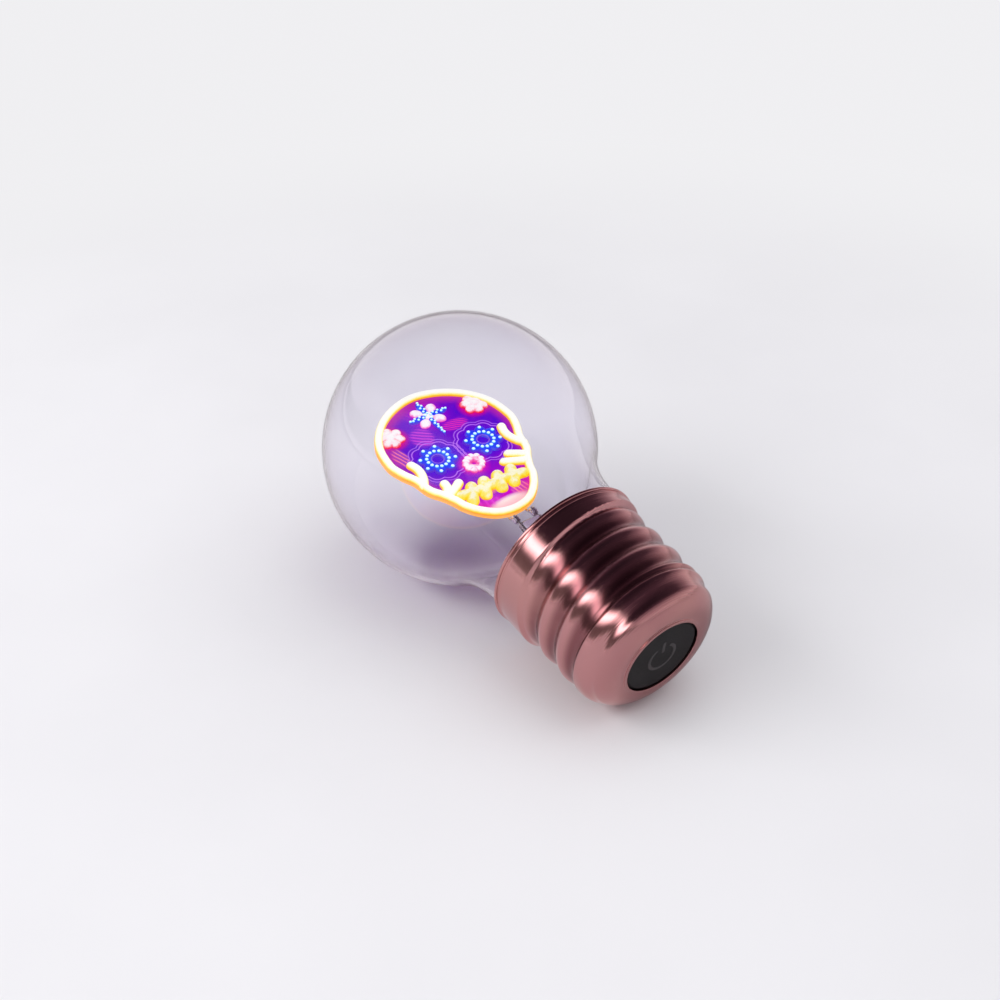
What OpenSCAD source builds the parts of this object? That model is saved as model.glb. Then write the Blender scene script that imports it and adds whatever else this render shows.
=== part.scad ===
/*
  Rechargeable light bulb with a lit skull figure inside a clear globe.
  Millimetres. The bulb stands on its base end, Z runs from the base to the globe.
  The figure faces -Y and the charging socket opens at +Y.
*/

/* [Globe] */
// Diameter of the blown globe
globe_d = 85; // [80:1:110]
// Length of the straight neck above the collar
neck_l = 4; // [1:0.5:12]
// Thickness of the glass
glass_wall = 1; // [0.6:0.1:1.6]
// Radius of the glass neck inside the collar
neck_r = 23.4; // [20:0.1:24]
// Radius of the sweep between neck and globe
neck_sweep = 30; // [14:1:50]

/* [Screw shell] */
// Thickness of the rolled sheet
sheet = 0.7; // [0.5:0.1:1]
// Outer radius of the plain collar
collar_r = 24.4; // [24:0.1:26]
// Height of the rolled rim above the base end
rim_z = 44.4; // [44:0.1:48]
// Radius of the rolled rim bead
rim_bead = 0.5; // [0.3:0.05:0.8]
// Outer radius at the root of the thread
root_r = 21.9; // [21.6:0.1:22.4]
// Height of the thread crests over the root
thread_depth = 1.45; // [0.8:0.05:2]
// Rise of the thread in one turn
pitch = 8.2; // [6:0.1:10]
// Height of the first crest on the +X side
first_crest_z = 12.25; // [11:0.05:14]
// Radius of the rounding at the shoulder
shoulder_arc = 9.4; // [8:0.1:10]
// Outer radius of the shoulder
shoulder_r = 23; // [22.5:0.1:23.6]
// Height of the lip that the bulb stands on
lip_h = 0.35; // [0.2:0.05:0.6]
// Width of the flat lip
lip_w = 1; // [0.6:0.1:1.2]

/* [Button] */
// Radius of the button face
button_r = 11.95; // [10:0.05:12.4]
// Depth of the face below the lip
button_inset = 0.5; // [0.4:0.1:0.9]
// Thickness of the button disc
button_t = 2.05; // [1.8:0.05:2.4]
// Width of the flange that stays behind the lip
flange_w = 1.45; // [1:0.05:1.6]
// Stroke of the button
stroke = 0.6; // [0.3:0.05:0.8]

/* [Carrier and cell] */
// Outer radius of the carrier
carrier_r = 20.7; // [20:0.1:20.9]
// Wall of the carrier
carrier_wall = 1.4; // [1:0.1:1.8]
// Height of the carrier floor
floor_z = 13.6; // [13.4:0.1:14.4]
// Thickness of the carrier floor
floor_t = 1.2; // [1:0.1:1.4]
// Diameter of the cell
cell_d = 16.4; // [14:0.1:16.6]
// Length of the cell
cell_l = 34.2; // [30:0.1:34.4]
// Height of the closing disc
disc_z = 34; // [33.5:0.1:35]

/* [Board] */
// Radius of the circuit board
board_r = 18.4; // [18:0.1:18.8]
// Thickness of the circuit board
board_t = 1.2; // [1:0.1:1.6]
// Height of the underside of the board
board_z = 9.4; // [9.2:0.1:9.6]
// Edge length of the switch
switch_w = 6; // [5:0.5:7]
// Distance of the board screws from the axis
screw_ring = 13; // [12.5:0.1:13.2]

/* [Stem and leads] */
// Distance from the glass press up to the chin
press_gap = 6.2; // [5.8:0.1:8]
// Width of the glass press
press_w = 8.4; // [7:0.1:10]
// Radius of the stem tube
stem_r = 5; // [4.9:0.1:5.5]
// Radius of the lead wires
lead_r = 0.35; // [0.25:0.05:0.5]
// Half of the distance between the leads
lead_x = 3.2; // [2.8:0.1:3.3]

/* [Figure] */
// Width of the skull between strip centres
skull_w = 44.8; // [38:0.2:45]
// Height of the skull between strip centres
skull_h = 58.1; // [50:0.1:60]
// Thickness of the clear plate
plate_t = 1.2; // [0.8:0.1:1.6]
// Half of the width of the lit strip
strip_r = 1.35; // [1:0.05:1.6]
// Radius of the lobes on the teeth and cheeks
lobe_r = 1.3; // [1:0.05:1.6]
// Petals of each eye flower
eye_petals = 8; // [5:1:12]
// Lights in the ring of each eye
eye_ring = 14; // [8:1:18]
// Beads of the nose
nose_beads = 11; // [7:1:13]

/* [Fits] */
// Gap between parts that touch without pressing
fit = 0.02; // [0.01:0.01:0.05]
// Gap round parts that move
run = 0.3; // [0.3:0.05:0.4]
// Radial gap of the switch plunger
slide = 0.06; // [0.03:0.01:0.1]

/* [Hidden] */
$fn = 96;
globe_r = globe_d / 2;
arc_r = shoulder_r - shoulder_arc;
arc_z = shoulder_arc + lip_h;
hole_r = button_r + run;
seat_z = lip_h + sheet;
thread_z0 = arc_z;
thread_z1 = rim_z - 3.6;
thread_sides = 40;
thread_rows = 34;
neck_z = thread_z1 + 0.4;
sweep_x = neck_r + neck_sweep;
sweep_z = rim_z + neck_l;
globe_z = sweep_z + sqrt(pow(globe_r + neck_sweep, 2) - sweep_x * sweep_x);
skull_z = globe_z - 0.518 * skull_h;
press_z = skull_z - press_gap;
bend_swell = 1.04;
flange_z = seat_z + run;
flange_r = button_r + flange_w;
post_top = board_z - 4.4;
board_top = board_z + board_t;
boss_r = 2.6;
screw_r = 1;
cell_z = floor_z + floor_t + cell_d / 2 + 0.2;
feed_x = 6;
feed_y = -14.5;
feed_r = 0.6;
feed_z = disc_z + 2.6;
port_w = 12;
port_h = 5.6;
port_z = board_top + 1.35;
socket_w = 7.5;
socket_h = 2.7;
lamp_a = 65;
lamp_z = board_top + 1.4;
plate_y = 0.6;
plate_back = plate_y + plate_t;
pad_t = 0.7;
eye_x = 0.377 * skull_w / 2;
eye_r = 0.145 * skull_w;
eye_z = skull_z + 0.515 * skull_h;
nose_z = skull_z + 0.392 * skull_h;
cross_z = skull_z + 0.832 * skull_h;
mouth_z = skull_z + 0.207 * skull_h;
side_x = 0.685 * skull_w / 2;
side_z = skull_z + 0.778 * skull_h;

// Control points of half the skull from crown to chin, in shares of its width and height
half_skull = [
  [0, 1], [0.38, 0.965], [0.7, 0.882], [0.93, 0.755], [1, 0.606], [0.945, 0.512], [0.855, 0.435],
  [0.8, 0.34], [0.7, 0.277], [0.615, 0.21], [0.56, 0.15], [0.43, 0.078], [0.24, 0.02], [0, 0]
];

/* [View] */
// Part to show

// A soft step from 0 to 1
function soft(t) = let (c = min(1, max(0, t))) c * c * (3 - 2 * c);

// Closed smooth curve through control points, n pieces to each span
function curve(p, n) = [
  for (i = [0:len(p) - 1]) for (s = [0:n - 1])
    let (
      t = s / n,
      m = len(p),
      a = p[(i + m - 1) % m],
      b = p[i],
      c = p[(i + 1) % m],
      d = p[(i + 2) % m]
    )
    (2 * b + (c - a) * t + (2 * a - 5 * b + 4 * c - d) * t * t + (3 * b - a - 3 * c + d) * t * t * t) / 2
];

// Outward unit normal of a closed curve at point i
function normal(p, i) =
  let (m = len(p), t = p[(i + 1) % m] - p[(i + m - 1) % m]) [-t[1], t[0]] / norm(t);

// The whole skull, its left half mirrored from the right
full_skull = concat(
  [for (q = half_skull) [q[0] * skull_w / 2, skull_z + q[1] * skull_h]],
  [for (i = [len(half_skull) - 2:-1:1]) [-half_skull[i][0] * skull_w / 2, skull_z + half_skull[i][1] * skull_h]]
);
skull = curve(full_skull, 3);
plate_edge = [for (i = [0:len(skull) - 1]) skull[i] + normal(skull, i) * strip_r];

// Outer radius of the rolled sheet at height z and angle a
function thread_r(z, a) =
  root_r
  + (shoulder_r - root_r) * (1 - soft((z - thread_z0) / 1.7))
  + (collar_r - root_r) * soft((z - thread_z1 + 1.6) / 1.6)
  + thread_depth * soft((z - thread_z0 - 0.8) / 2.2) * soft((thread_z1 - 1.6 - z) / 2.2)
    * (1 + cos(360 * (z - first_crest_z) / pitch - a)) / 2;

// Round bar between two points
module bar(p, q, r) {
  d = q - p;
  l = norm(d);
  translate(p)
    rotate([0, acos(d[2] / l), atan2(d[1], d[0])])
      cylinder(r = r, h = l);
}

// Round wire through a list of points, with balls at the bends
module wire(points, r, swell = bend_swell) {
  for (i = [0:len(points) - 2])
    bar(points[i], points[i + 1], r);
  for (i = [1:len(points) - 2])
    translate(points[i])
      sphere(r = r * swell);
}

// A straight run of lit strip on the plate, rounded to the front and at its ends
module lit_run(points, r) {
  intersection() {
    union() {
      for (i = [0:len(points) - 2])
        bar([points[i][0], plate_y, points[i][1]], [points[i + 1][0], plate_y, points[i + 1][1]], r);
      for (p = points)
        translate([p[0], plate_y, p[1]])
          sphere(r = r * bend_swell);
    }
    translate([-skull_w, plate_y - 4, skull_z - 5])
      cube([2 * skull_w, 4, 2 * skull_h]);
  }
}

// A flat shape drawn in x and z, standing on the front of the plate
module on_plate(x, z, t) {
  translate([x, plate_y, z])
    rotate([90, 0, 0])
      linear_extrude(t)
        children();
}

// Both sides of the figure
module both() {
  children();
  mirror([1, 0, 0])
    children();
}

// Right half of the outline of the glass, shrunk by t
module glass_half(t, bottom) {
  k = (globe_r - t) / (globe_r + neck_sweep);
  intersection() {
    translate([0, globe_z])
      circle(globe_r - t);
    translate([0, globe_z - globe_r])
      square([globe_r, globe_d]);
  }
  difference() {
    polygon([
      [0, bottom], [neck_r - t, bottom], [neck_r - t, sweep_z],
      [sweep_x * k, globe_z - (globe_z - sweep_z) * k], [0, globe_z]
    ]);
    translate([sweep_x, sweep_z])
      circle(neck_sweep + t + 0.01);
  }
}

module glass_envelope() {
  color([0.9, 0.95, 1, 0.3])
    rotate_extrude()
      difference() {
        glass_half(0, neck_z);
        glass_half(glass_wall, neck_z - 1);
      }
}

module glass_stem() {
  flare_r = neck_r - glass_wall - fit;
  press_t = 3.2;
  color([0.9, 0.95, 1, 0.4])
    difference() {
      union() {
        rotate_extrude()
          polygon([
            [flare_r, neck_z], [flare_r, neck_z + 1.2], [stem_r + 2, neck_z + 6.6], [stem_r, neck_z + 10],
            [stem_r, press_z - 5.6], [stem_r - 1.2, press_z - 4.6], [0, press_z - 4.6], [0, press_z - 7],
            [stem_r - 1.1, press_z - 7], [stem_r - 1.1, neck_z + 9.6], [stem_r + 1.2, neck_z + 5.6],
            [flare_r - 1.2, neck_z]
          ]);
        translate([-press_w / 2, -press_t / 2, press_z - 7])
          cube([press_w, press_t, 7 - press_t / 2]);
        translate([-press_w / 2, 0, press_z - press_t / 2])
          rotate([0, 90, 0])
            cylinder(d = press_t, h = press_w);
        translate([0, 0, feed_z + 0.6])
          difference() {
            cylinder(r = 1.6, h = press_z - 6.8 - feed_z);
            translate([0, 0, -1])
              cylinder(r = 1, h = press_z - 8 - feed_z);
          }
      }
      for (s = [-1, 1])
        translate([s * lead_x, 0, neck_z])
          cylinder(r = lead_r + fit, h = press_z);
    }
}

// One lead from under the press to the back of the plate
module lead(s) {
  color([0.75, 0.72, 0.68])
    wire([
      [s * lead_x, 0, feed_z + 1.4],
      [s * lead_x, 0, skull_z - 2.8],
      [s * lead_x, plate_back + lead_r, skull_z - 1.9],
      [s * lead_x, plate_back + lead_r, skull_z + 3.6]
    ], lead_r, 1.3);
}

module lead_wire_left() {
  lead(-1);
}

module lead_wire_right() {
  lead(1);
}

module lead_ferrules() {
  color([0.8, 0.8, 0.85])
    for (s = [-1, 1])
      translate([s * lead_x, 0, skull_z - 5.4])
        difference() {
          union() {
            cylinder(r = 1, h = 2.4);
            translate([0, 0, 0.7])
              cylinder(r = 1.2, h = 1);
          }
          translate([0, 0, -1])
            cylinder(r = lead_r + fit, h = 5);
        }
}

module solder_joints() {
  color([0.8, 0.8, 0.82])
    for (s = [-1, 1])
      difference() {
        intersection() {
          translate([s * lead_x, plate_back, skull_z + 2.6])
            sphere(r = 1.3);
          translate([s * lead_x - 2, plate_back, skull_z])
            cube([4, 2, 6]);
        }
        bar(
          [s * lead_x, plate_back + lead_r, skull_z - 1],
          [s * lead_x, plate_back + lead_r, skull_z + 3.6 + fit],
          lead_r + fit
        );
      }
}

module figure_plate() {
  color([0.8, 0.7, 1, 0.5])
    translate([0, plate_back, 0])
      rotate([90, 0, 0])
        linear_extrude(plate_t)
          polygon(plate_edge);
}

// The lit strip bent round the edge of the plate, flat at the back and round to the front
module outline_strip() {
  m = len(skull);
  k = 8;
  points = [
    for (i = [0:m - 1]) for (j = [0:k])
      let (n = normal(skull, i), a = 180 * j / k)
      [
        skull[i][0] + n[0] * strip_r * cos(a),
        plate_y - 1.3 * strip_r * sin(a),
        skull[i][1] + n[1] * strip_r * cos(a)
      ]
  ];
  rings = [
    for (i = [0:m - 1]) for (j = [0:k]) for (h = [0, 1])
      let (
        a = i * (k + 1) + j,
        b = i * (k + 1) + (j + 1) % (k + 1),
        c = ((i + 1) % m) * (k + 1) + j,
        d = ((i + 1) % m) * (k + 1) + (j + 1) % (k + 1)
      )
      h == 0 ? [a, b, d] : [a, d, c]
  ];
  color([1, 0.9, 0.5])
    polyhedron(points = points, faces = rings, convexity = 6);
}

module temple_curls() {
  u = skull_w / 44.8;
  v = skull_h / 58.1;
  color([1, 0.9, 0.5])
    both()
      lit_run([
        [16.25 * u, skull_z + 25 * v],
        [16.05 * u, skull_z + 27.8 * v],
        [16.2 * u, skull_z + 30.4 * v],
        [16.9 * u, skull_z + 32.2 * v]
      ], lobe_r);
}

module cheek_strips() {
  u = skull_w / 44.8;
  v = skull_h / 58.1;
  color([1, 0.9, 0.5])
    both()
      lit_run([
        [12.2 * u, skull_z + 20.7 * v],
        [12.3 * u, skull_z + 16.8 * v],
        [8.3 * u, skull_z + 18.2 * v]
      ], lobe_r);
}

module teeth_strip() {
  u = skull_w / 44.8;
  color([1, 0.85, 0.3])
    union() {
      lit_run([[-10 * u, mouth_z], [10 * u, mouth_z]], lobe_r);
      for (x = [-7, -2.4, 2.4, 7])
        lit_run([[(x - 0.8) * u, mouth_z - 2.6], [(x + 0.8) * u, mouth_z + 2.6]], lobe_r + 0.4);
    }
}

module eye_flowers() {
  color([0.15, 0.25, 0.9])
    both()
      on_plate(eye_x, eye_z, pad_t)
        difference() {
          union() {
            circle(0.8 * eye_r);
            for (i = [0:eye_petals - 1])
              rotate((i + 0.5) * 360 / eye_petals)
                translate([0.72 * eye_r, 0])
                  circle(0.28 * eye_r);
          }
          circle(0.26 * eye_r);
        }
}

// A circle of n small lights round an eye, turned by a share of their spacing
module eye_circle(ring, n, turn, r) {
  for (i = [0:n - 1])
    let (a = (i + turn) * 360 / n)
      translate([eye_x + ring * cos(a), plate_y - pad_t, eye_z + ring * sin(a)])
        rotate([90, 0, 0])
          cylinder(r = r, h = 0.4);
}

module eye_lights() {
  color([0.8, 0.95, 1])
    both() {
      eye_circle(0.53 * eye_r, eye_ring, 0, 0.42);
      eye_circle(0.84 * eye_r, eye_petals, 0.5, 0.45);
    }
}

module nose_heart() {
  color([1, 0.6, 0.8])
    difference() {
      on_plate(0, nose_z, 1.3)
        union() {
          circle(2.9);
          for (i = [0:nose_beads - 1])
            rotate(90 + (i + 0.5) * 360 / nose_beads)
              translate([2.9, 0])
                circle(1);
        }
      translate([0, plate_y, nose_z])
        rotate([90, 0, 0])
          cylinder(r = 1.1, h = 4, center = true);
    }
}

// Outline of the cross round its centre
module cross_shape() {
  translate([-5.8, -1.1])
    square([11.6, 2.2]);
  translate([-1.1, 0])
    square([2.2, 5.8]);
  for (a = [0, 90, 180])
    rotate(a)
      translate([5.8, 0])
        circle(1.3);
  circle(1.8);
  polygon([[-0.5, -10.5], [0.5, -10.5], [1.3, 0.5], [-1.3, 0.5]]);
}

module forehead_cross() {
  color([0.2, 0.35, 0.95])
    on_plate(0, cross_z, pad_t)
      cross_shape();
}

module cross_lights() {
  arms = [for (a = [0, 90, 180]) for (d = [3, 4.6, 6]) [d * cos(a), d * sin(a)]];
  tail = [for (d = [2.6:1.5:10]) [0, -d]];
  color([0.8, 0.95, 1])
    for (p = concat(arms, tail))
      translate([p[0], plate_y - pad_t, cross_z + p[1]])
        rotate([90, 0, 0])
          cylinder(r = 0.4, h = 0.4);
}

module forehead_petals() {
  color([1, 0.75, 0.9])
    on_plate(0, cross_z, 1.2)
      difference() {
        for (a = [45, 135, 225, 315])
          rotate(a)
            translate([3.9, 0])
              circle(1.9);
        cross_shape();
      }
}

module side_flowers() {
  color([1, 0.4, 0.5])
    both()
      on_plate(side_x, side_z, 1.1)
        union() {
          circle(2.4);
          for (a = [155, 225, 295])
            rotate(a)
              translate([2.6, 0])
                circle(1.7);
        }
}

// The threaded part of the shell, the same wave on the inside as on the outside
module thread_sheet() {
  n = thread_sides;
  z = function (j) thread_z0 - 0.3 + (thread_z1 - thread_z0 + 0.6) * j / thread_rows;
  ring = n * (thread_rows + 1);
  points = [
    for (w = [0, sheet - 0.04]) for (j = [0:thread_rows]) for (i = [0:n - 1])
      let (a = 360 * i / n, r = thread_r(z(j), a) - 0.02 - w)
      [r * cos(a), r * sin(a), z(j)]
  ];
  walls = [
    for (side = [0, 1]) for (j = [0:thread_rows - 1]) for (i = [0:n - 1]) for (h = [0, 1])
      let (
        k = side * ring,
        a = k + j * n + i,
        b = k + j * n + (i + 1) % n,
        c = a + n,
        d = b + n,
        f = h == 0 ? [a, c, d] : [a, d, b]
      )
      side == 0 ? f : [f[2], f[1], f[0]]
  ];
  ends = [
    for (e = [0, 1]) for (i = [0:n - 1])
      let (
        k = e * thread_rows * n,
        a = k + i,
        b = k + (i + 1) % n,
        c = a + ring,
        d = b + ring
      )
      e == 0 ? [a, b, d, c] : [c, d, b, a]
  ];
  polyhedron(points = points, faces = concat(walls, ends), convexity = 8);
}

// A slot with round ends, seen along Y
module slot(w, h, y0, y1, z) {
  for (s = [-1, 1])
    translate([s * (w - h) / 2, y0, z])
      rotate([-90, 0, 0])
        cylinder(d = h, h = y1 - y0);
  translate([-(w - h) / 2, y0, z - h / 2])
    cube([w - h, y1 - y0, h]);
}

module screw_shell() {
  color([0.85, 0.65, 0.62])
    difference() {
      union() {
        thread_sheet();
        rotate_extrude() {
          translate([collar_r - sheet, thread_z1])
            square([sheet, rim_z - rim_bead - thread_z1]);
          translate([collar_r, rim_z - rim_bead])
            circle(rim_bead);
          translate([collar_r - 0.1, rim_z - 1.9])
            circle(0.3);
        }
        rotate_extrude()
          intersection() {
            translate([arc_r, arc_z])
              difference() {
                circle(shoulder_arc);
                circle(shoulder_arc - sheet);
              }
            translate([arc_r, 0])
              square([shoulder_arc, arc_z]);
          }
        rotate_extrude() {
          translate([hole_r, lip_h])
            square([arc_r - hole_r + 0.01, sheet]);
          translate([hole_r, 0])
            square([lip_w, lip_h + 0.1]);
        }
      }
      slot(port_w + 2 * fit, port_h + 2 * fit, 17, 26, port_z);
      rotate([0, 0, lamp_a])
        translate([17, 0, lamp_z])
          rotate([0, 90, 0])
            cylinder(r = 1.1 + fit, h = 9);
    }
}

module cement_ring() {
  color([0.9, 0.88, 0.82])
    difference() {
      translate([0, 0, neck_z])
        cylinder(r = collar_r - sheet, h = 2.7);
      translate([0, 0, neck_z - 1])
        cylinder(r = neck_r, h = 5);
    }
}

module port_bezel() {
  color([0.1, 0.1, 0.1])
    difference() {
      intersection() {
        slot(port_w, port_h, 20.9, 26, port_z);
        cylinder(r = root_r + thread_depth + 0.1, h = 30);
      }
      slot(socket_w + 0.7, socket_h + 0.7, 17, 26, port_z);
    }
}

module charge_lens() {
  color([0.9, 1, 0.9])
    rotate([0, 0, lamp_a])
      translate([17.6, 0, lamp_z])
        rotate([0, 90, 0])
          cylinder(r = 1.1, h = 5.5);
}

module carrier() {
  inner_r = carrier_r - carrier_wall;
  color([0.95, 0.95, 0.92])
    difference() {
      union() {
        rotate_extrude()
          intersection() {
            translate([arc_r, arc_z])
              difference() {
                circle(shoulder_arc - sheet - fit);
                circle(shoulder_arc - sheet - 1.5);
              }
            translate([flange_r + run, 0])
              square([carrier_r - flange_r - run, arc_z]);
          }
        difference() {
          translate([0, 0, 5.2])
            cylinder(r = carrier_r, h = disc_z - 5.2);
          translate([0, 0, 5])
            cylinder(r = inner_r, h = disc_z);
        }
        translate([0, 0, floor_z])
          cylinder(r = inner_r + 0.2, h = floor_t);
        for (a = [30, 150, 270])
          rotate([0, 0, a])
            translate([screw_ring, 0, board_top])
              cylinder(r = boss_r, h = floor_z - board_top + 0.2);
        for (s = [-1, 1])
          translate([s * 9 - 1.5, -11, floor_z + floor_t - 0.2])
            cube([3, 22, cell_z - floor_z - floor_t - 1]);
        for (s = [0, 180])
          rotate([0, 0, s])
            intersection() {
              translate([cell_l / 2 + 0.4, -4.5, floor_z + floor_t - 0.2])
                cube([4, 9, 14]);
              cylinder(r = inner_r + 0.2, h = disc_z);
            }
      }
      translate([-cell_l / 2 - 0.4, 0, cell_z])
        rotate([0, 90, 0])
          cylinder(d = cell_d + 2 * fit, h = cell_l + 0.8);
      for (a = [30, 150, 270])
        rotate([0, 0, a])
          translate([screw_ring, 0, board_z])
            cylinder(r = screw_r + fit, h = 4.1);
      translate([-5, 12, board_z - 0.2])
        cube([10, 12, floor_z - board_z + 0.2]);
      rotate([0, 0, lamp_a])
        translate([17.5, 0, lamp_z])
          rotate([0, 90, 0])
            cylinder(r = 1.4, h = 5);
      for (s = [-1, 1])
        translate([s * feed_x, feed_y, floor_z - 1])
          cylinder(r = feed_r + 0.2, h = floor_t + 2);
      for (s = [-1, 1])
        translate([s * (cell_l / 2 + 0.2) - 0.4, -1.6, floor_z - 1])
          cube([0.8, 3.2, floor_t + 2]);
    }
}

module board_screws() {
  color([0.75, 0.75, 0.78])
    for (a = [30, 150, 270])
      rotate([0, 0, a])
        translate([screw_ring, 0, 0])
          difference() {
            union() {
              translate([0, 0, board_z - 1.1])
                cylinder(r = 1.9, h = 1.1);
              translate([0, 0, board_z - 0.1])
                cylinder(r = screw_r, h = 4);
            }
            for (b = [0, 90])
              rotate([0, 0, b])
                translate([-1.2, -0.25, board_z - 1.6])
                  cube([2.4, 0.5, 1.1]);
          }
}

module battery_cell() {
  color([0.2, 0.45, 0.75])
    translate([-cell_l / 2, 0, cell_z])
      rotate([0, 90, 0])
        union() {
          cylinder(d = cell_d, h = cell_l - 0.8);
          cylinder(r = 3, h = cell_l);
        }
}

module cell_contacts() {
  color([0.8, 0.78, 0.7])
    for (s = [0, 180])
      rotate([0, 0, s])
        union() {
          translate([cell_l / 2, -4, cell_z - 4.5])
            cube([0.4, 8, 9]);
          translate([cell_l / 2, -1.2, board_top])
            cube([0.4, 2.4, cell_z - board_top]);
        }
}

module cell_pad() {
  color([0.25, 0.25, 0.27])
    difference() {
      translate([-6, -5, cell_z + 5])
        cube([12, 10, disc_z - cell_z - 5]);
      translate([-cell_l / 2, 0, cell_z])
        rotate([0, 90, 0])
          cylinder(d = cell_d + 2 * fit, h = cell_l);
    }
}

module closing_disc() {
  color([0.9, 0.9, 0.85])
    translate([0, 0, disc_z])
      difference() {
        cylinder(r = carrier_r, h = 1);
        for (s = [-1, 1])
          translate([s * feed_x, feed_y, -1])
            cylinder(r = feed_r + 0.2, h = 3);
      }
}

module circuit_board() {
  color([0.1, 0.4, 0.2])
    translate([0, 0, board_z])
      difference() {
        union() {
          cylinder(r = board_r, h = board_t);
          translate([-4.6, 14, 0])
            cube([9.2, 6.6, board_t]);
        }
        for (a = [30, 150, 270])
          rotate([0, 0, a])
            translate([screw_ring, 0, -1])
              cylinder(r = screw_r + fit, h = 4);
      }
}

module board_parts() {
  chips = [[-4.5, 8.5, 5, 4, 1.5], [6, -4, 6, 6, 2.6], [-6, -3.5, 2.4, 1.4, 1.1], [-6, -7, 2.4, 1.4, 1.1], [2.5, 8, 3, 3, 1]];
  color([0.12, 0.12, 0.13])
    for (c = chips)
      translate([c[0] - c[2] / 2, c[1] - c[3] / 2, board_top])
        cube([c[2], c[3], c[4]]);
  color([0.9, 0.9, 0.8])
    rotate([0, 0, lamp_a])
      translate([15.6, -1, board_top])
        cube([1.6, 2, 2]);
}

module charge_socket() {
  color([0.75, 0.75, 0.77])
    difference() {
      slot(socket_w, socket_h, 15.8, 22.6, port_z);
      slot(socket_w - 0.6, socket_h - 0.6, 16.4, 23, port_z);
    }
}

module socket_tongue() {
  color([0.1, 0.1, 0.1])
    translate([-1.9, 16.4, port_z - 0.1])
      cube([3.8, 5.2, 0.6]);
}

module switch_body() {
  color([0.15, 0.15, 0.15])
    translate([0, 0, board_z])
      difference() {
        translate([-switch_w / 2, -switch_w / 2, -3.4])
          cube([switch_w, switch_w, 3.4]);
        translate([0, 0, -4])
          cylinder(r = 1.7 + slide, h = 3.2);
      }
}

module switch_plunger() {
  color([0.85, 0.3, 0.25])
    translate([0, 0, post_top])
      cylinder(r = 1.7, h = 2.4);
}

module end_button() {
  color([0.06, 0.06, 0.06])
    union() {
      translate([0, 0, button_inset])
        cylinder(r = button_r, h = button_t);
      translate([0, 0, flange_z])
        cylinder(r = flange_r, h = button_inset + button_t - flange_z);
      translate([0, 0, button_inset + button_t - 0.1])
        cylinder(r = 2.6, h = post_top - button_inset - button_t + 0.1);
    }
}

// One insulated wire from the board past the cell to its lead
module feed_wire(s, c) {
  color(c)
    wire([
      [s * feed_x, feed_y, board_top],
      [s * feed_x, feed_y, feed_z],
      [s * lead_x, 0, feed_z],
      [s * lead_x, 0, feed_z + 1.4]
    ], feed_r);
}

module feed_wire_left() {
  feed_wire(-1, [0.1, 0.1, 0.1]);
}

module feed_wire_right() {
  feed_wire(1, [0.8, 0.1, 0.1]);
}

glass_envelope();
glass_stem();
lead_wire_left();
lead_wire_right();
lead_ferrules();
solder_joints();
figure_plate();
outline_strip();
temple_curls();
cheek_strips();
teeth_strip();
eye_flowers();
eye_lights();
nose_heart();
forehead_cross();
cross_lights();
forehead_petals();
side_flowers();
screw_shell();
cement_ring();
port_bezel();
charge_lens();
carrier();
board_screws();
battery_cell();
cell_contacts();
cell_pad();
closing_disc();
circuit_board();
board_parts();
charge_socket();
socket_tongue();
switch_body();
switch_plunger();
end_button();
feed_wire_left();
feed_wire_right();
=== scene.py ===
import math
import bmesh
import bpy
import numpy as np
from mathutils import Matrix


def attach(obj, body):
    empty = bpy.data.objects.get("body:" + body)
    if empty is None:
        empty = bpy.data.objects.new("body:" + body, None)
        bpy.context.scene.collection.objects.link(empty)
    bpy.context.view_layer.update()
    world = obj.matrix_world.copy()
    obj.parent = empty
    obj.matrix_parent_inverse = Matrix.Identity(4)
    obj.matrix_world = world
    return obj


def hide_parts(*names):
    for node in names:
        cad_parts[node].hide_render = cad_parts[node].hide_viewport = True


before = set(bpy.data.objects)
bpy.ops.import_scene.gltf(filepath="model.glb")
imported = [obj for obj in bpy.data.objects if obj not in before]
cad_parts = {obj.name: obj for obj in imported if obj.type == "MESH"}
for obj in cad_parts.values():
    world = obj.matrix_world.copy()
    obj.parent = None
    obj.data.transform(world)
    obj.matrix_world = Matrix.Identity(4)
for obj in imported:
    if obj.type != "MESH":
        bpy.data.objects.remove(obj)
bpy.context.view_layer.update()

# The glass globe is blown in one piece with its neck, about a millimetre thick, and cemented
# into the collar. The wall is a closed shell, so light bends through it as through the real one.
GLOBE_R = 42.5
NECK_R = 23.4
SWEEP = 30.0
RIM_Z = 44.4
NECK_Z = 41.2
GLASS = 1.0
SPARE = 0.03
SWEEP_Z = RIM_Z + 4.0
GLOBE_Z = SWEEP_Z + math.sqrt((GLOBE_R + SWEEP) ** 2 - (NECK_R + SWEEP) ** 2)


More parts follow.
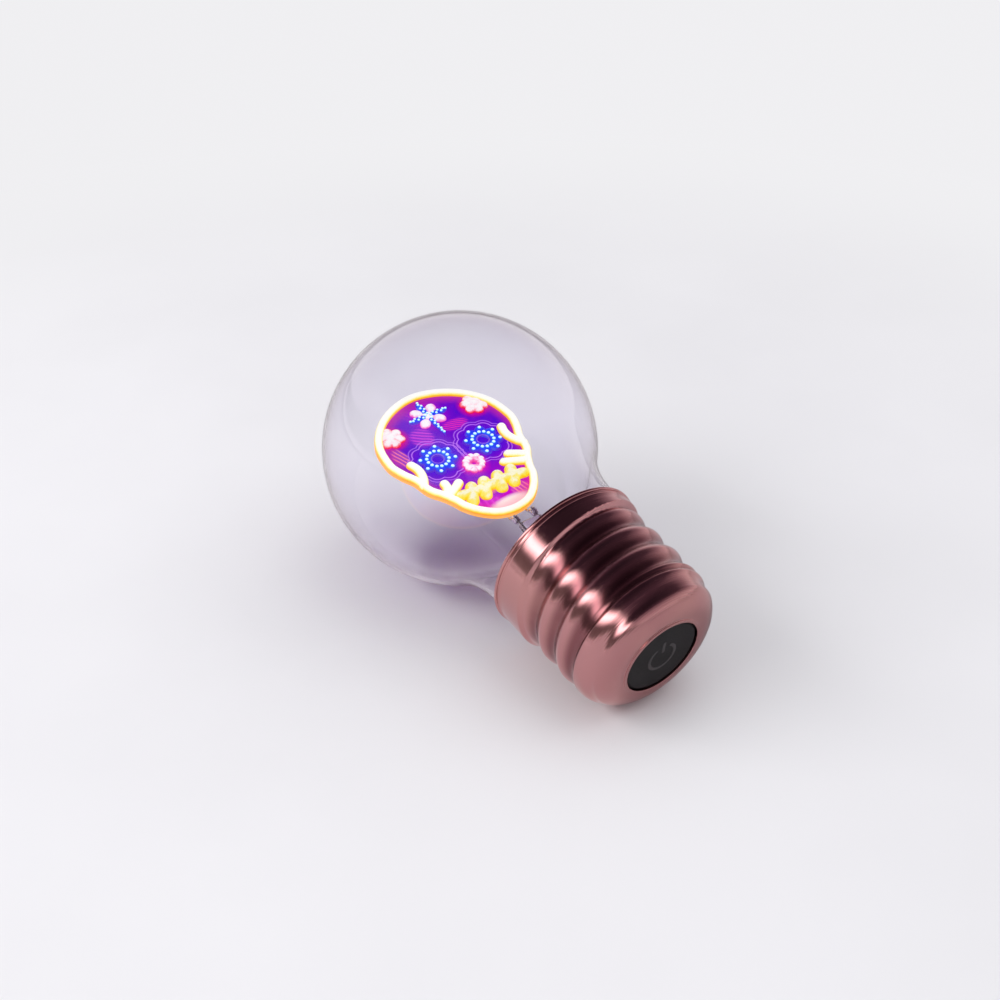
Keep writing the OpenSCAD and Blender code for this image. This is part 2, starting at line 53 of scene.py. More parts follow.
class Tone:
    """One socket of a material. Sums, products and powers of tones add Math nodes."""

    def __init__(self, tree, socket=None):
        self.tree = tree
        self.socket = socket

    def node(self, kind, settings, sockets, out=0):
        """A node of that kind: its settings first, then values or links for its sockets."""
        made = self.tree.nodes.new("ShaderNode" + kind)
        for name, value in settings.items():
            if name == "stops":
                ramp = made.color_ramp
                while len(ramp.elements) > 1:
                    ramp.elements.remove(ramp.elements[-1])
                for count, (place, colour) in enumerate(value):
                    stop = ramp.elements[0] if count == 0 else ramp.elements.new(place)
                    stop.position = place
                    stop.color = (*colour, 1.0)
            else:
                setattr(made, name, value)
        for name, value in sockets.items():
            if isinstance(value, Tone):
                self.tree.links.new(value.socket, made.inputs[name])
            else:
                made.inputs[name].default_value = value
        return Tone(self.tree, made.outputs[out])

    def maths(self, operation, *values):
        """One Math node on so many values."""
        return self.node("Math", {"operation": operation}, dict(enumerate(values)))

    def __add__(self, other):
        return self.maths("ADD", self, other)

    def __sub__(self, other):
        return self.maths("SUBTRACT", self, other)

    def __rsub__(self, other):
        return self.maths("SUBTRACT", other, self)

    def __mul__(self, other):
        return self.maths("MULTIPLY", self, other)

    def __truediv__(self, other):
        return self.maths("DIVIDE", self, other)

    def __pow__(self, other):
        return self.maths("POWER", self, other)

    def __abs__(self):
        return self.maths("ABSOLUTE", self)

    __radd__ = __add__
    __rmul__ = __mul__

    def within(self, low, high):
        """0 below low, 1 above high, and a soft rise between."""
        return self.node("MapRange", {"interpolation_type": "SMOOTHSTEP"}, {0: self, 1: low, 2: high})

    def place(self):
        """Where the surface point lies in the object."""
        return self.node("TexCoord", {}, {}, "Object")

    def along(self, axis):
        """How many millimetres along an axis the surface point lies."""
        return self.node("SeparateXYZ", {}, {0: self.place()}, axis) * 1000.0

    def ray(self, kind):
        """What kind of ray arrives here, as the light path tells it."""
        return self.node("LightPath", {}, {}, kind)

    def mark(self, name):
        """A value that the mesh carries at each corner."""
        return self.node("Attribute", {"attribute_name": name}, {}, "Fac")

    def noise(self, scale, detail=3.0, stretch=(1.0, 1.0, 1.0)):
        """Noise on the object's own place, with so many bumps to the metre."""
        where = self.node("Mapping", {}, {"Vector": self.place(), "Scale": stretch})
        return self.node("TexNoise", {}, {"Vector": where, "Scale": scale, "Detail": detail})

    def blend(self, share, first, second):
        """From the first colour to the second."""
        return self.node("Mix", {"data_type": "RGBA"}, {0: share, 6: first, 7: second}, 2)

    def bump(self, height, strength, distance):
        """A normal bent by a height from 0 to 1, which stands for so many metres."""
        return self.node("Bump", {}, {"Height": height, "Strength": strength, "Distance": distance})

    def ramp(self, share, stops):
        """A colour read off a row of stops."""
        return self.node("ValToRGB", {"stops": stops}, {0: share})


def finish(name, fixed):
    """A new material: one Principled shader with the values that are the same all over."""
    made = bpy.data.materials.new(name)
    made.use_nodes = True
    shader = made.node_tree.nodes["Principled BSDF"]
    for key, value in fixed.items():
        shader.inputs[key].default_value = value
    return made, Tone(made.node_tree), shader


def feed(shader, sockets):
    """Links tones to a shader's sockets."""
    for key, tone in sockets.items():
        tone.tree.links.new(tone.socket, shader.inputs[key])


def surface(name, grids, material, nodes=(), body="bulb", marks=None, sharp=None, hole=None):
    """A piece from grids of points in millimetres, each with flags for closing it round and along.

    Each grid is (points[rows, columns, 3], round, along): round joins the last column to the
    first, along joins the last row to the first. Rows that shrink to a point are welded. Faces
    that lie wholly where hole(points) is true are cut out, and the walls are joined round the cut.
    """
    points, faces, values, start = [], [], [], 0
    for number, (grid, wrap, along) in enumerate(grids):
        rows, columns = grid.shape[:2]
        index = np.arange(rows * columns).reshape(rows, columns) + start
        if wrap:
            index = np.hstack([index, index[:, :1]])
        if along:
            index = np.vstack([index, index[:1]])
        quads = np.stack([index[:-1, :-1], index[:-1, 1:], index[1:, 1:], index[1:, :-1]], axis=-1).reshape(-1, 4)
        points.append(grid.reshape(-1, 3))
        faces.append(quads)
        if marks is not None:
            values.append(np.broadcast_to(marks[number], (rows, columns)).reshape(-1))
        start += rows * columns
    points = np.concatenate(points)
    faces = np.concatenate(faces)
    if hole is not None:
        faces = faces[~hole(points)[faces].all(axis=1)]
    kept = np.unique(faces)
    faces = np.searchsorted(kept, faces)
    points = points[kept] * 0.001
    mesh = bpy.data.meshes.new(name)
    mesh.from_pydata(points.tolist(), [], faces.tolist())
    if marks is not None:
        layer = mesh.attributes.new("mark", "FLOAT", "POINT")
        layer.data.foreach_set("value", np.concatenate(values)[kept].astype(np.float32))
    work = bmesh.new()
    work.from_mesh(mesh)
    bmesh.ops.remove_doubles(work, verts=work.verts, dist=1e-7)
    if hole is not None:
        bmesh.ops.bridge_loops(work, edges=[e for e in work.edges if e.is_boundary])
    bmesh.ops.recalc_face_normals(work, faces=work.faces)
    work.to_mesh(mesh)
    work.free()
    mesh.shade_smooth()
    if sharp is not None:
        mesh.set_sharp_from_angle(angle=math.radians(sharp))
    piece = bpy.data.objects.new(name, mesh)
    bpy.context.scene.collection.objects.link(piece)
    mesh.materials.append(material)
    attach(piece, body)
    if nodes:
        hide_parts(*nodes)
    return piece


def turned(profile, sides):
    """A profile of (radius, height) pairs turned round the axis."""
    angle = np.linspace(0, 2 * np.pi, sides, endpoint=False)
    radius, height = np.asarray(profile, float).T
    return np.stack([
        radius[:, None] * np.cos(angle), radius[:, None] * np.sin(angle),
        np.broadcast_to(height[:, None], (len(radius), sides))], axis=-1)


def globe_profile(inset, bottom):
    """Crown to neck: the globe's arc, the sweep's arc back the other way, and the straight neck."""
    lean = math.acos((GLOBE_Z - SWEEP_Z) / (GLOBE_R + SWEEP))
    ball = np.linspace(0, np.pi - lean, 100)
    arc = np.linspace(np.pi / 2 - lean, 0, 26)[1:]
    far = NECK_R + SWEEP
    radius = [(GLOBE_R - inset) * np.sin(ball), far - (SWEEP + inset) * np.cos(arc), [NECK_R - inset] * 2]
    height = [GLOBE_Z + (GLOBE_R - inset) * np.cos(ball), SWEEP_Z + (SWEEP + inset) * np.sin(arc),
              [RIM_Z - 0.5, bottom]]
    return np.stack([np.concatenate(radius), np.concatenate(height)], axis=-1)


glass, tone, shader = finish("blown_glass", {
    "Roughness": 0.0, "Transmission Weight": 1.0, "IOR": 1.46})
feed(shader, {
    "Base Color": tone.ramp(tone.noise(40.0, 3.0), [(0.3, (0.955, 0.945, 0.995)), (0.7, (0.975, 0.965, 1.0))]),
    "Normal": tone.bump(tone.noise(18.0, 1.0), 0.02, 0.002)})
# The outer face lies a hair inside its nominal size, so that it stays in the solid's box.
wall = np.concatenate([globe_profile(SPARE, NECK_Z), globe_profile(GLASS, NECK_Z)[::-1]])
surface("globe_glass", [(turned(wall, 256), True, False)], glass, ["glass_envelope"], sharp=50)

# The glass stem is melted to the foot of the neck: a flare, a tube, and a press that is squeezed
# flat while it is hot, with both leads sealed in it. The pumping tube hangs down its middle.
SKULL_H = 58.1
SKULL_W = 44.8
SKULL_Z = GLOBE_Z - 0.518 * SKULL_H
PRESS_Z = SKULL_Z - 6.2
LEAD_X = 3.2
stem_glass, tone, shader = finish("pressed_glass", {
    "Base Color": (0.97, 0.84, 0.95, 1.0), "Transmission Weight": 1.0, "IOR": 1.5})
feed(shader, {
    "Roughness": tone.noise(300.0).within(0.4, 0.8) * 0.06,
    "Normal": tone.bump(tone.noise(160.0, 2.0), 0.25, 0.001)})
flare = NECK_R - GLASS - 0.02


def squeezed(rings, sides):
    """Rings of (half width, half depth, height), each an ellipse that squares up as it flattens."""
    angle = np.linspace(0, 2 * np.pi, sides, endpoint=False)
    width, depth, height = np.asarray(rings, float).T[:, :, None]
    square = 2.0 / (2.0 + 1.6 * (1 - np.minimum(depth / np.maximum(width, 1e-6), 1.0)))
    cos, sin = np.cos(angle), np.sin(angle)
    return np.stack([
        width * np.sign(cos) * np.abs(cos) ** square, depth * np.sign(sin) * np.abs(sin) ** square,
        np.broadcast_to(height, (len(rings), sides))], axis=-1)


climb = np.linspace(0, 1, 14)
soft = climb ** 2 * (3 - 2 * climb)
foot = [(flare, flare, NECK_Z), (flare, flare, NECK_Z + 0.9), (flare - 0.5, flare - 0.5, NECK_Z + 1.25)]
bell = [(5.0 + 16.6 * (1 - t) ** 2.2, 5.0 + 16.6 * (1 - t) ** 2.2, NECK_Z + 1.4 + 8.6 * t) for t in climb[1:]]
press = [(5.0 - 0.8 * t, 5.0 - 3.4 * t, PRESS_Z - 7.2 + 3.4 * c) for t, c in zip(soft, climb)]
crown = [(4.2 - 1.5 * t ** 3, 1.6 * math.cos(t * 1.5), PRESS_Z - 1.6 + 1.6 * math.sin(t * 1.5))
         for t in np.linspace(0, 1, 9)]
hollow = [(max(w - 1.15, 0.0), max(d - 1.15, 0.0), z - 0.9) for w, d, z in bell if z < PRESS_Z - 6]
hollow.append((0.0, 0.0, PRESS_Z - 6.6))
outside = squeezed(foot + bell + press + crown + [(0.0, 0.0, PRESS_Z)], 72)
inside = squeezed([(flare, flare, NECK_Z), (flare - 1.2, flare - 1.2, NECK_Z)] + hollow, 72)
tube = turned([(0.001, 52.0), (1.0, 51.6), (1.0, 37.6), (1.6, 37.6), (1.6, 53.0), (0.001, 53.4)], 24)
surface("stem_glass", [(outside, True, False), (inside, True, False), (tube, True, False)], stem_glass,
        ["glass_stem"], sharp=60)

# Two nickel leads come out of the press and stop behind the clear plate. Each carries a crimped
# ferrule and ends in a drop of solder on the back of the plate.
PLATE_Y = 0.6
PLATE_T = 1.2


def cubic(a, b, c, d, t):
    """From b to c as t runs from 0 to 1: it leaves along the line a to c and arrives along b to d."""
    return (2 * b + (c - a) * t + (2 * a - 5 * b + 4 * c - d) * t ** 2 + (3 * b - a - 3 * c + d) * t ** 3) / 2


def smooth_line(points, steps):
    """An open curve through the points: a cubic between each pair, in so many steps."""
    points = np.asarray(points, float)
    path = np.concatenate([points[:1] * 2 - points[1:2], points, points[-1:] * 2 - points[-2:-1]])
    a, b, c, d = (v[:, None] for v in (path[:-3], path[1:-2], path[2:-1], path[3:]))
    t = np.linspace(0, 1, steps, endpoint=False)[None, :, None]
    return np.concatenate([cubic(a, b, c, d, t).reshape(-1, points.shape[1]), points[-1:]])


def swept(path, radius, sides, steps):
    """A round wire: a smooth line through the points, with a ring square to it at every step."""
    line = smooth_line(path, steps)
    along = np.gradient(line, axis=0)
    along /= np.linalg.norm(along, axis=1, keepdims=True)
    first = np.cross(along, (0.0, 1.0, 0.3))
    first /= np.linalg.norm(first, axis=1, keepdims=True)
    second = np.cross(along, first)
    angle = np.linspace(0, 2 * np.pi, sides, endpoint=False)[None, :, None]
    rings = line[:, None] + radius * (np.cos(angle) * first[:, None] + np.sin(angle) * second[:, None])
    return np.concatenate([np.repeat(line[None, :1], sides, 1), rings, np.repeat(line[None, -1:], sides, 1)])


nickel, tone, shader = finish("nickel_lead", {"Metallic": 1.0})
feed(shader, {
    "Base Color": tone.ramp(tone.noise(900.0), [(0.3, (0.55, 0.52, 0.5)), (0.7, (0.8, 0.77, 0.74))]),
    "Roughness": 0.18 + tone.noise(1500.0, 2.0) * 0.2})
back = PLATE_Y + PLATE_T + 0.35
for side, name in ((-1, "left"), (1, "right")):
    x = side * LEAD_X
    route = [(x, 0, 38.4), (x, 0, 46), (x, 0, 54), (x, 0, SKULL_Z - 4.2), (x, 0.05, SKULL_Z - 2.9),
             (x, back, SKULL_Z - 1.85), (x, back, SKULL_Z + 0.5), (x, back, SKULL_Z + 3.6)]
    surface("lead_" + name, [(swept(route, 0.35, 12, 8), True, False)], nickel, ["lead_wire_" + name])
crimp = [(0.37, 0.0), (0.85, 0.0), (1.0, 0.15), (1.0, 0.55), (1.17, 0.72), (1.2, 0.9), (1.2, 1.0), (1.02, 1.2),
         (1.2, 1.4), (1.2, 1.55), (1.17, 1.7), (1.0, 1.85), (1.0, 2.25), (0.85, 2.4), (0.37, 2.4), (0.37, 0.0)]
sleeve = turned(np.asarray(crimp) + (0, SKULL_Z - 5.4), 40)
bright, tone, shader = finish("crimped_ferrule", {"Metallic": 1.0})
feed(shader, {
    "Base Color": tone.ramp(tone.noise(700.0), [(0.3, (0.8, 0.66, 0.86)), (0.7, (1.0, 0.93, 1.0))]),
    "Roughness": 0.16 + tone.noise(1200.0) * 0.22})
surface("ferrules", [(sleeve + (s * LEAD_X, 0, 0), True, False) for s in (-1, 1)], bright,
        ["lead_ferrules"], sharp=60)
tin, tone, shader = finish("solder_drop", {"Metallic": 1.0, "Base Color": (0.72, 0.73, 0.74, 1)})
feed(shader, {"Roughness": 0.22 + tone.noise(2500.0) * 0.3, "Normal": tone.bump(tone.noise(1800.0), 0.3, 0.0005)})
dome = np.linspace(0, np.pi / 2, 9)
around = np.linspace(0, 2 * np.pi, 28, endpoint=False)
wide = 1.25 * np.append(0, np.cos(dome))[:, None]
proud = PLATE_Y + PLATE_T + 0.95 * np.append(0, np.sin(dome))[:, None]
drop = np.stack([wide * np.cos(around), np.broadcast_to(proud, (10, 28)), wide * np.sin(around)], axis=-1)
drop = drop + (0, 0, SKULL_Z + 2.6)
surface("solder_drops", [(drop + (s * LEAD_X, 0, 0), True, False) for s in (-1, 1)], tin, ["solder_joints"])

# The figure's plate is clear acrylic cut to the outline of the skull. The lights on it flood it
# with violet, magenta towards the jaw, and the scalloped lines round the eyes are cut into it; this light is painted
# into the plate's glow and, dimmer, into its colour.
half_skull = np.array([
    (0, 1), (0.38, 0.965), (0.7, 0.882), (0.93, 0.755), (1, 0.606), (0.945, 0.512), (0.855, 0.435),
    (0.8, 0.34), (0.7, 0.277), (0.615, 0.21), (0.56, 0.15), (0.43, 0.078), (0.24, 0.02), (0, 0)])


def round_curve(points, steps):
    """A closed smooth curve through the points, cubic between each pair."""
    a, b, c, d = (np.roll(points, k, axis=0)[:, None] for k in (1, 0, -1, -2))
    t = np.linspace(0, 1, steps, endpoint=False)[None, :, None]
    return cubic(a, b, c, d, t).reshape(-1, 2)


def outward(curve):
    """The unit normal of a closed curve, pointing out."""
    run = np.roll(curve, -1, axis=0) - np.roll(curve, 1, axis=0)
    return np.stack([-run[:, 1], run[:, 0]], axis=-1) / np.linalg.norm(run, axis=1, keepdims=True)


STRIP = 1.35
whole = np.concatenate([half_skull, half_skull[-2:0:-1] * (-1, 1)]) * (SKULL_W / 2, SKULL_H) + (0, SKULL_Z)
outline = round_curve(whole, 14)
normal = outward(outline)
edge = outline + normal * STRIP
share_rows = np.concatenate([np.linspace(0, 0.985, 16), [1.0]])
centre = np.array([0.0, SKULL_Z + SKULL_H * 0.52])
disc = centre + (edge[None] - centre) * share_rows[:, None, None]
sheet = np.concatenate([
    np.insert(disc, 1, PLATE_Y, axis=2)[:-1], np.insert(disc[-1:], 1, PLATE_Y + 0.12, axis=2),
    np.insert(disc[-1:], 1, PLATE_Y + PLATE_T - 0.12, axis=2),
    np.insert(disc, 1, PLATE_Y + PLATE_T, axis=2)[:-1][::-1]])
acrylic, tone, shader = finish("violet_acrylic", {
    "Roughness": 0.12, "IOR": 1.49, "Transmission Weight": 0.15, "Specular IOR Level": 0.05,
    "Emission Strength": 1.0})
across = tone.along(0)
up = tone.along(2) - SKULL_Z
cloud = tone.noise(110.0, 4.0)
low = (up * -1.0 + 26.0 + (cloud - 0.5) * 22.0).within(0.0, 22.0)
flood = tone.blend(low, (0.13, 0.0, 0.5, 1), (0.56, 0.0, 0.5, 1))
flood = tone.blend(cloud.within(0.5, 0.72) * 0.6, flood, (0.03, 0.0, 0.52, 1))


def stroked(x, z, wide, high, lean, pace):
    """Fine engraved strokes, painted as lines of glow: a sine across the leaning direction, faded out over an oval.
    """
    dx = across - x
    dz = up - z
    oval = ((dx / wide) ** 2.0 + (dz / high) ** 2.0).within(0.3, 1.0)
    wave = tone.maths("SINE", (dx * math.cos(lean) + dz * math.sin(lean) + cloud * 1.5) * pace)
    return (1.0 - oval) * (wave.within(-0.1, 0.9) * 0.75 + 0.25)


# The lights on the plate shine into it, painted as pools of glow: red by the side blossoms, blue round the eyes,
# pink by the nose, yellow behind the teeth, and a cream glow on the chin.
for x, z, wide, high, share, colour in (
        (15.3, 45.2, 6.2, 6.2, 0.75, (0.75, 0.0, 0.12, 1)), (-15.3, 45.2, 6.2, 6.2, 0.75, (0.75, 0.0, 0.12, 1)),
        (8.4, 29.9, 9.5, 8.6, 0.75, (0.05, 0.0, 0.62, 1)), (-8.4, 29.9, 9.5, 8.6, 0.75, (0.05, 0.0, 0.62, 1)),
        (0.0, 22.8, 6.0, 6.0, 0.7, (0.7, 0.0, 0.4, 1)), (0.0, 12.0, 13.0, 3.6, 0.6, (0.9, 0.3, 0.05, 1)),
        (0.0, 48.4, 8.0, 8.0, 0.6, (0.4, 0.0, 0.5, 1)), (0.3, 2.9, 9.6, 3.5, 1.0, (1.0, 0.95, 0.82, 1))):
    gap = ((across - x) / wide) ** 2.0 + ((up - z) / high) ** 2.0
    flood = tone.blend((1.0 - gap.within(0.15, 1.0)) * share, flood, colour)
for x, z, wide, high, lean, pace, share, colour in (
        (5.2, 41.0, 5.5, 2.8, 1.2, 7.0, 0.9, (0.85, 0.03, 0.4, 1)),
        (-17.6, 36.5, 2.8, 5.2, 0.3, 5.0, 0.9, (0.9, 0.2, 0.3, 1)),
        (-7.0, 41.0, 4.4, 5.0, 0.9, 5.0, 0.8, (0.7, 0.06, 0.62, 1)),
        (6.4, 6.8, 3.6, 2.8, 0.2, 4.6, 0.8, (1.0, 0.3, 0.3, 1)),
        (-6.0, 6.4, 5.0, 2.4, 0.0, 3.2, 0.5, (0.8, 0.05, 0.7, 1)),
        (-1.0, 51.5, 8.0, 4.0, 0.6, 4.0, 0.4, (0.5, 0.02, 0.5, 1))):
    flood = tone.blend(stroked(x, z, wide, high, lean, pace) * share, flood, colour)
for side in (-1, 1):
    dx = across - side * 8.44
    dz = up - 29.9
    far = (dx * dx + dz * dz) ** 0.5
    petal = abs(tone.maths("SINE", tone.maths("ARCTAN2", dz, dx) * 5.0))
    for reach, share in ((7.6, 0.75), (8.7, 0.5)):
        gap = abs(far - petal * 0.8 - reach)
        flood = tone.blend((1.0 - gap.within(0.08, 0.3)) * share, flood, (0.56, 0.2, 0.85, 1))
# Painted glow: near its rim the plate takes the outline strip's light, magenta and then orange at the very edge.
painted_strip_glow = tone.mark("mark").within(0.74, 0.9)
flood = tone.blend(painted_strip_glow * 0.5, flood, (0.7, 0.03, 0.2, 1))
flood = tone.blend(tone.mark("mark").within(0.93, 0.975) * 0.95, flood, (1.0, 0.46, 0.06, 1))
# The painted glow goes into the emission, and a dim share of it into the base colour.
feed(shader, {"Base Color": tone.blend(0.7, flood, (0.02, 0.005, 0.05, 1)), "Emission Color": flood})
spread_mark = np.concatenate([share_rows[:-1], [1.0, 1.0], share_rows[:-1][::-1]])[:, None]
surface("skull_plate", [(sheet, True, False)], acrylic, ["figure_plate"],
        marks=[spread_mark], sharp=50)

# The outline is one strip of silicone diffuser bent round the plate's edge, lit from inside: it
# burns to cream along its crown and turns yellow and orange where it meets the plate.
arch = np.linspace(0, np.pi, 13)
section = np.stack([STRIP * np.cos(arch), 1.3 * STRIP * np.sin(arch)], axis=-1)
crown_mark = np.sin(arch)
ring = np.stack([
    outline[None, :, 0] + normal[None, :, 0] * section[:, None, 0],
    np.broadcast_to(PLATE_Y - section[:, None, 1], (13, len(outline))),
    outline[None, :, 1] + normal[None, :, 1] * section[:, None, 0]], axis=-1)


def lit(name, stops, strength, flicker=0.04, size=520.0):
    """A diffuser that glows: its colour runs along the stops from the rim of the strip to its crown."""
    made, tone, shader = finish(name, {"Roughness": 0.42, "Emission Strength": strength})
    grain = tone.noise(size, 2.0)
    light = tone.ramp(tone.mark("mark") + (grain - 0.5) * flicker * 4.0, stops)
    feed(shader, {"Emission Color": light, "Base Color": tone.blend(0.88, light, (0.0, 0.0, 0.0, 1))})
    return made


warm = lit("warm_diffuser", [
    (0.0, (0.95, 0.26, 0.0)), (0.28, (1.0, 0.52, 0.01)), (0.46, (1.0, 0.8, 0.1)), (0.62, (1.0, 0.93, 0.45)),
    (0.8, (1.0, 0.99, 0.84)), (1.0, (1.0, 1.0, 0.94))], 1.05)
surface("outline_light", [(ring, True, True)], warm, ["outline_strip"], marks=[crown_mark[:, None]])

# The curls at the temples and the small leaves on the cheeks are short pieces of the same strip.
# Their ends are rounded off by the diffuser that is moulded over them.
DRAWN_W, DRAWN_H = 44.8, 58.1


def lit_run(points, radius, steps=9):
    """A short strip on the plate: a half round section along a smooth curve, closed by round ends."""
    line = smooth_line(points, steps)
    first = line[0] - line[1]
    last = line[-1] - line[-2]
    turn = np.linspace(np.pi / 2, 0, 7)[:-1]
    head = line[0] + first / np.linalg.norm(first) * radius * np.sin(turn)[:, None]
    tail = line[-1] + last / np.linalg.norm(last) * radius * np.sin(turn[::-1])[:, None]
    size = np.concatenate([np.cos(turn), np.ones(len(line)), np.cos(turn[::-1])]) * radius
    line = np.concatenate([head, line, tail])
    run = np.gradient(line, axis=0)
    run /= np.maximum(np.linalg.norm(run, axis=1, keepdims=True), 1e-9)
    aside = np.stack([-run[:, 1], run[:, 0]], axis=-1)
    bend = np.linspace(0, np.pi, 11)
    grid = np.stack([
        line[:, None, 0] + aside[:, None, 0] * np.cos(bend) * size[:, None],
        PLATE_Y - np.sin(bend) * size[:, None] * 1.02,
        line[:, None, 1] + aside[:, None, 1] * np.cos(bend) * size[:, None]], axis=-1)
    return grid, np.sin(bend)[None] * (size / radius)[:, None] ** 0.5


def runs(name, paths, radius, material, nodes, both=True):
    """Several short strips as one piece, drawn on a skull of DRAWN_W by DRAWN_H and fitted to this one.

    With both, each is also mirrored to the other side.
    """
    made = []
    for path, size in zip(paths, radius):
        for side in ((1, -1) if both else (1,)):
            fit = (side * SKULL_W / DRAWN_W, SKULL_H / DRAWN_H)
            grid, mark = lit_run(np.asarray(path, float) * fit + (0, SKULL_Z), size)
            made.append(((grid, True, False), mark))
    surface(name, [m[0] for m in made], material, nodes, marks=[m[1] for m in made])


runs("temple_lights", [[(18.6, 22.3), (17.2, 24.6), (16.3, 27.4), (16.3, 29.8), (16.9, 31.8)]], [1.58], warm,
     ["temple_curls"])
runs("cheek_lights", [
    [(11.5, 20.5), (13.4, 19.3), (15.6, 17.8)], [(8.3, 18.2), (10.7, 17.0), (14.2, 15.3)],
    [(-12.7, 19.8), (-13.1, 17.6), (-14.6, 15.5)], [(-8.9, 18.0), (-11.0, 16.6), (-13.9, 15.1)]],
    [1.58] * 4, warm, ["cheek_strips"], both=False)

# The teeth are a strip with four short strips across it, moulded in a yellower silicone.
# Each crossing strip is rounded at both ends, which gives the row its petals up and down.
yellow = lit("yellow_diffuser", [
    (0.0, (0.95, 0.3, 0.0)), (0.25, (1.0, 0.58, 0.0)), (0.5, (1.0, 0.76, 0.03)), (0.8, (1.0, 0.86, 0.2)),
    (1.0, (1.0, 0.96, 0.66))], 1.0, 0.28, 560.0)
MOUTH = 0.207 * DRAWN_H
teeth = [[(-11.0, MOUTH + 0.9), (-5, MOUTH), (0, MOUTH), (5, MOUTH), (10.5, MOUTH - 0.9)]]
teeth += [[(x - lean, MOUTH - 2.7), (x, MOUTH), (x + lean, MOUTH + 2.4)]
          for x, lean in ((-8.0, 1.4), (-3.3, 1.3), (2.1, 0.9), (6.9, 1.1))]
runs("teeth_lights", teeth, [1.9, 2.0, 2.0, 2.0, 2.0], yellow, ["teeth_strip"], both=False)

# Each eye is a flower of eight petals, a blue pad with a hole in its middle and a thin ring round
# the hole. Two circles of small domed lights stand on it, one ring and one light to each petal.
EYE_X = 0.377 * SKULL_W / 2
EYE_Z = SKULL_Z + 0.515 * SKULL_H
EYE_R = 0.145 * SKULL_W
PAD = 0.7


def pad(x, z, reach, hole, height, angle, rows=12):
    """A pad with a rounded edge: its rim follows reach(angle), from the hole out and back under."""
    step = np.linspace(0, 1, rows)
    rise = height * (1 - np.abs(2 * step - 1) ** 9) ** 0.5
    radius = hole + (reach[None] - hole) * step[:, None]
    top = np.stack([x + radius * np.cos(angle), np.broadcast_to(PLATE_Y - rise[:, None], radius.shape),
                    z + radius * np.sin(angle)], axis=-1)
    return top, rise[:, None] / height * (1 - np.abs(2 * step - 1)[:, None] ** 2 * 0.7) * np.ones_like(radius)


def domes(places, radius, height, base, sides=12):
    """Small domes at (x, z) places on the plate, each a few rings that close at the top."""
    tilt = np.linspace(0, np.pi / 2, 5)
    angle = np.linspace(0, 2 * np.pi, sides, endpoint=False)
    wide = radius * np.append(0, np.cos(tilt))[:, None]
    rise = np.append(0, np.sin(tilt))[:, None]
    one = np.stack([wide * np.cos(angle), np.broadcast_to(PLATE_Y - base - height * rise, (6, sides)),
                    wide * np.sin(angle)], axis=-1)
    made = [(one + (x, 0, z), True, False) for x, z in places]
    return made, [rise] * len(made)


angle = np.linspace(0, 2 * np.pi, 192, endpoint=False)
swing = angle % (np.pi / 4) - np.pi / 8
petal = 0.72 * np.cos(swing) + np.sqrt(np.maximum(0.28 ** 2 - (0.72 * np.sin(swing)) ** 2, 0))
reach = EYE_R * np.maximum(petal, 0.8)
blue, tone, shader = finish("blue_pad", {"Roughness": 0.45, "Emission Strength": 0.95})
# Painted glow: the pad shines deep blue where it rises and violet towards its hole and rim, with paler blue clouds.
glow = tone.blend(tone.mark("mark").within(0.2, 0.95), (0.1, 0.02, 0.6, 1), (0.01, 0.04, 0.92, 1))
glow = tone.blend(tone.noise(420.0).within(0.5, 0.75) * 0.6, glow, (0.02, 0.2, 1.0, 1))
feed(shader, {"Base Color": tone.blend(0.8, glow, (0.0, 0.0, 0.01, 1)), "Emission Color": glow})
pads = [pad(s * EYE_X, EYE_Z, reach, 0.26 * EYE_R, PAD, angle) for s in (-1, 1)]
surface("eye_pads", [(p[0], True, True) for p in pads], blue, ["eye_flowers"], marks=[p[1] for p in pads])
lamp_rim = lit("small_light", [
    (0.0, (0.02, 0.22, 1.0)), (0.3, (0.12, 0.62, 1.0)), (0.6, (0.55, 0.97, 1.0)), (1.0, (0.9, 1, 1))], 1.1)
places = [(s * EYE_X + r * math.cos(a), EYE_Z + r * math.sin(a)) for s in (-1, 1)
          for r, n, turn in ((0.53 * EYE_R, 14, 0), (0.84 * EYE_R, 8, 0.5))
          for a in [(k + turn) * 2 * math.pi / n for k in range(n)]]
grids, marks = domes(places, 0.6, 0.45, PAD)
surface("eye_lights", grids, lamp_rim, ["eye_lights"], marks=marks)
violet = lit("violet_line", [(0.0, (0.2, 0.04, 0.8)), (1.0, (0.4, 0.2, 0.95))], 0.9)
spin = np.linspace(0, 2 * np.pi, 48, endpoint=False)
tube_a = np.linspace(0, 2 * np.pi, 8, endpoint=False)
loops = [(np.stack([
    s * EYE_X + (1.95 + 0.14 * np.cos(tube_a)[:, None]) * np.cos(spin),
    np.broadcast_to(PLATE_Y - PAD - 0.1 * np.sin(tube_a)[:, None], (8, 48)),
    EYE_Z + (1.95 + 0.14 * np.cos(tube_a)[:, None]) * np.sin(spin)], axis=-1), True, True) for s in (-1, 1)]
surface("eye_rings", loops, violet, marks=[0.5, 0.5])

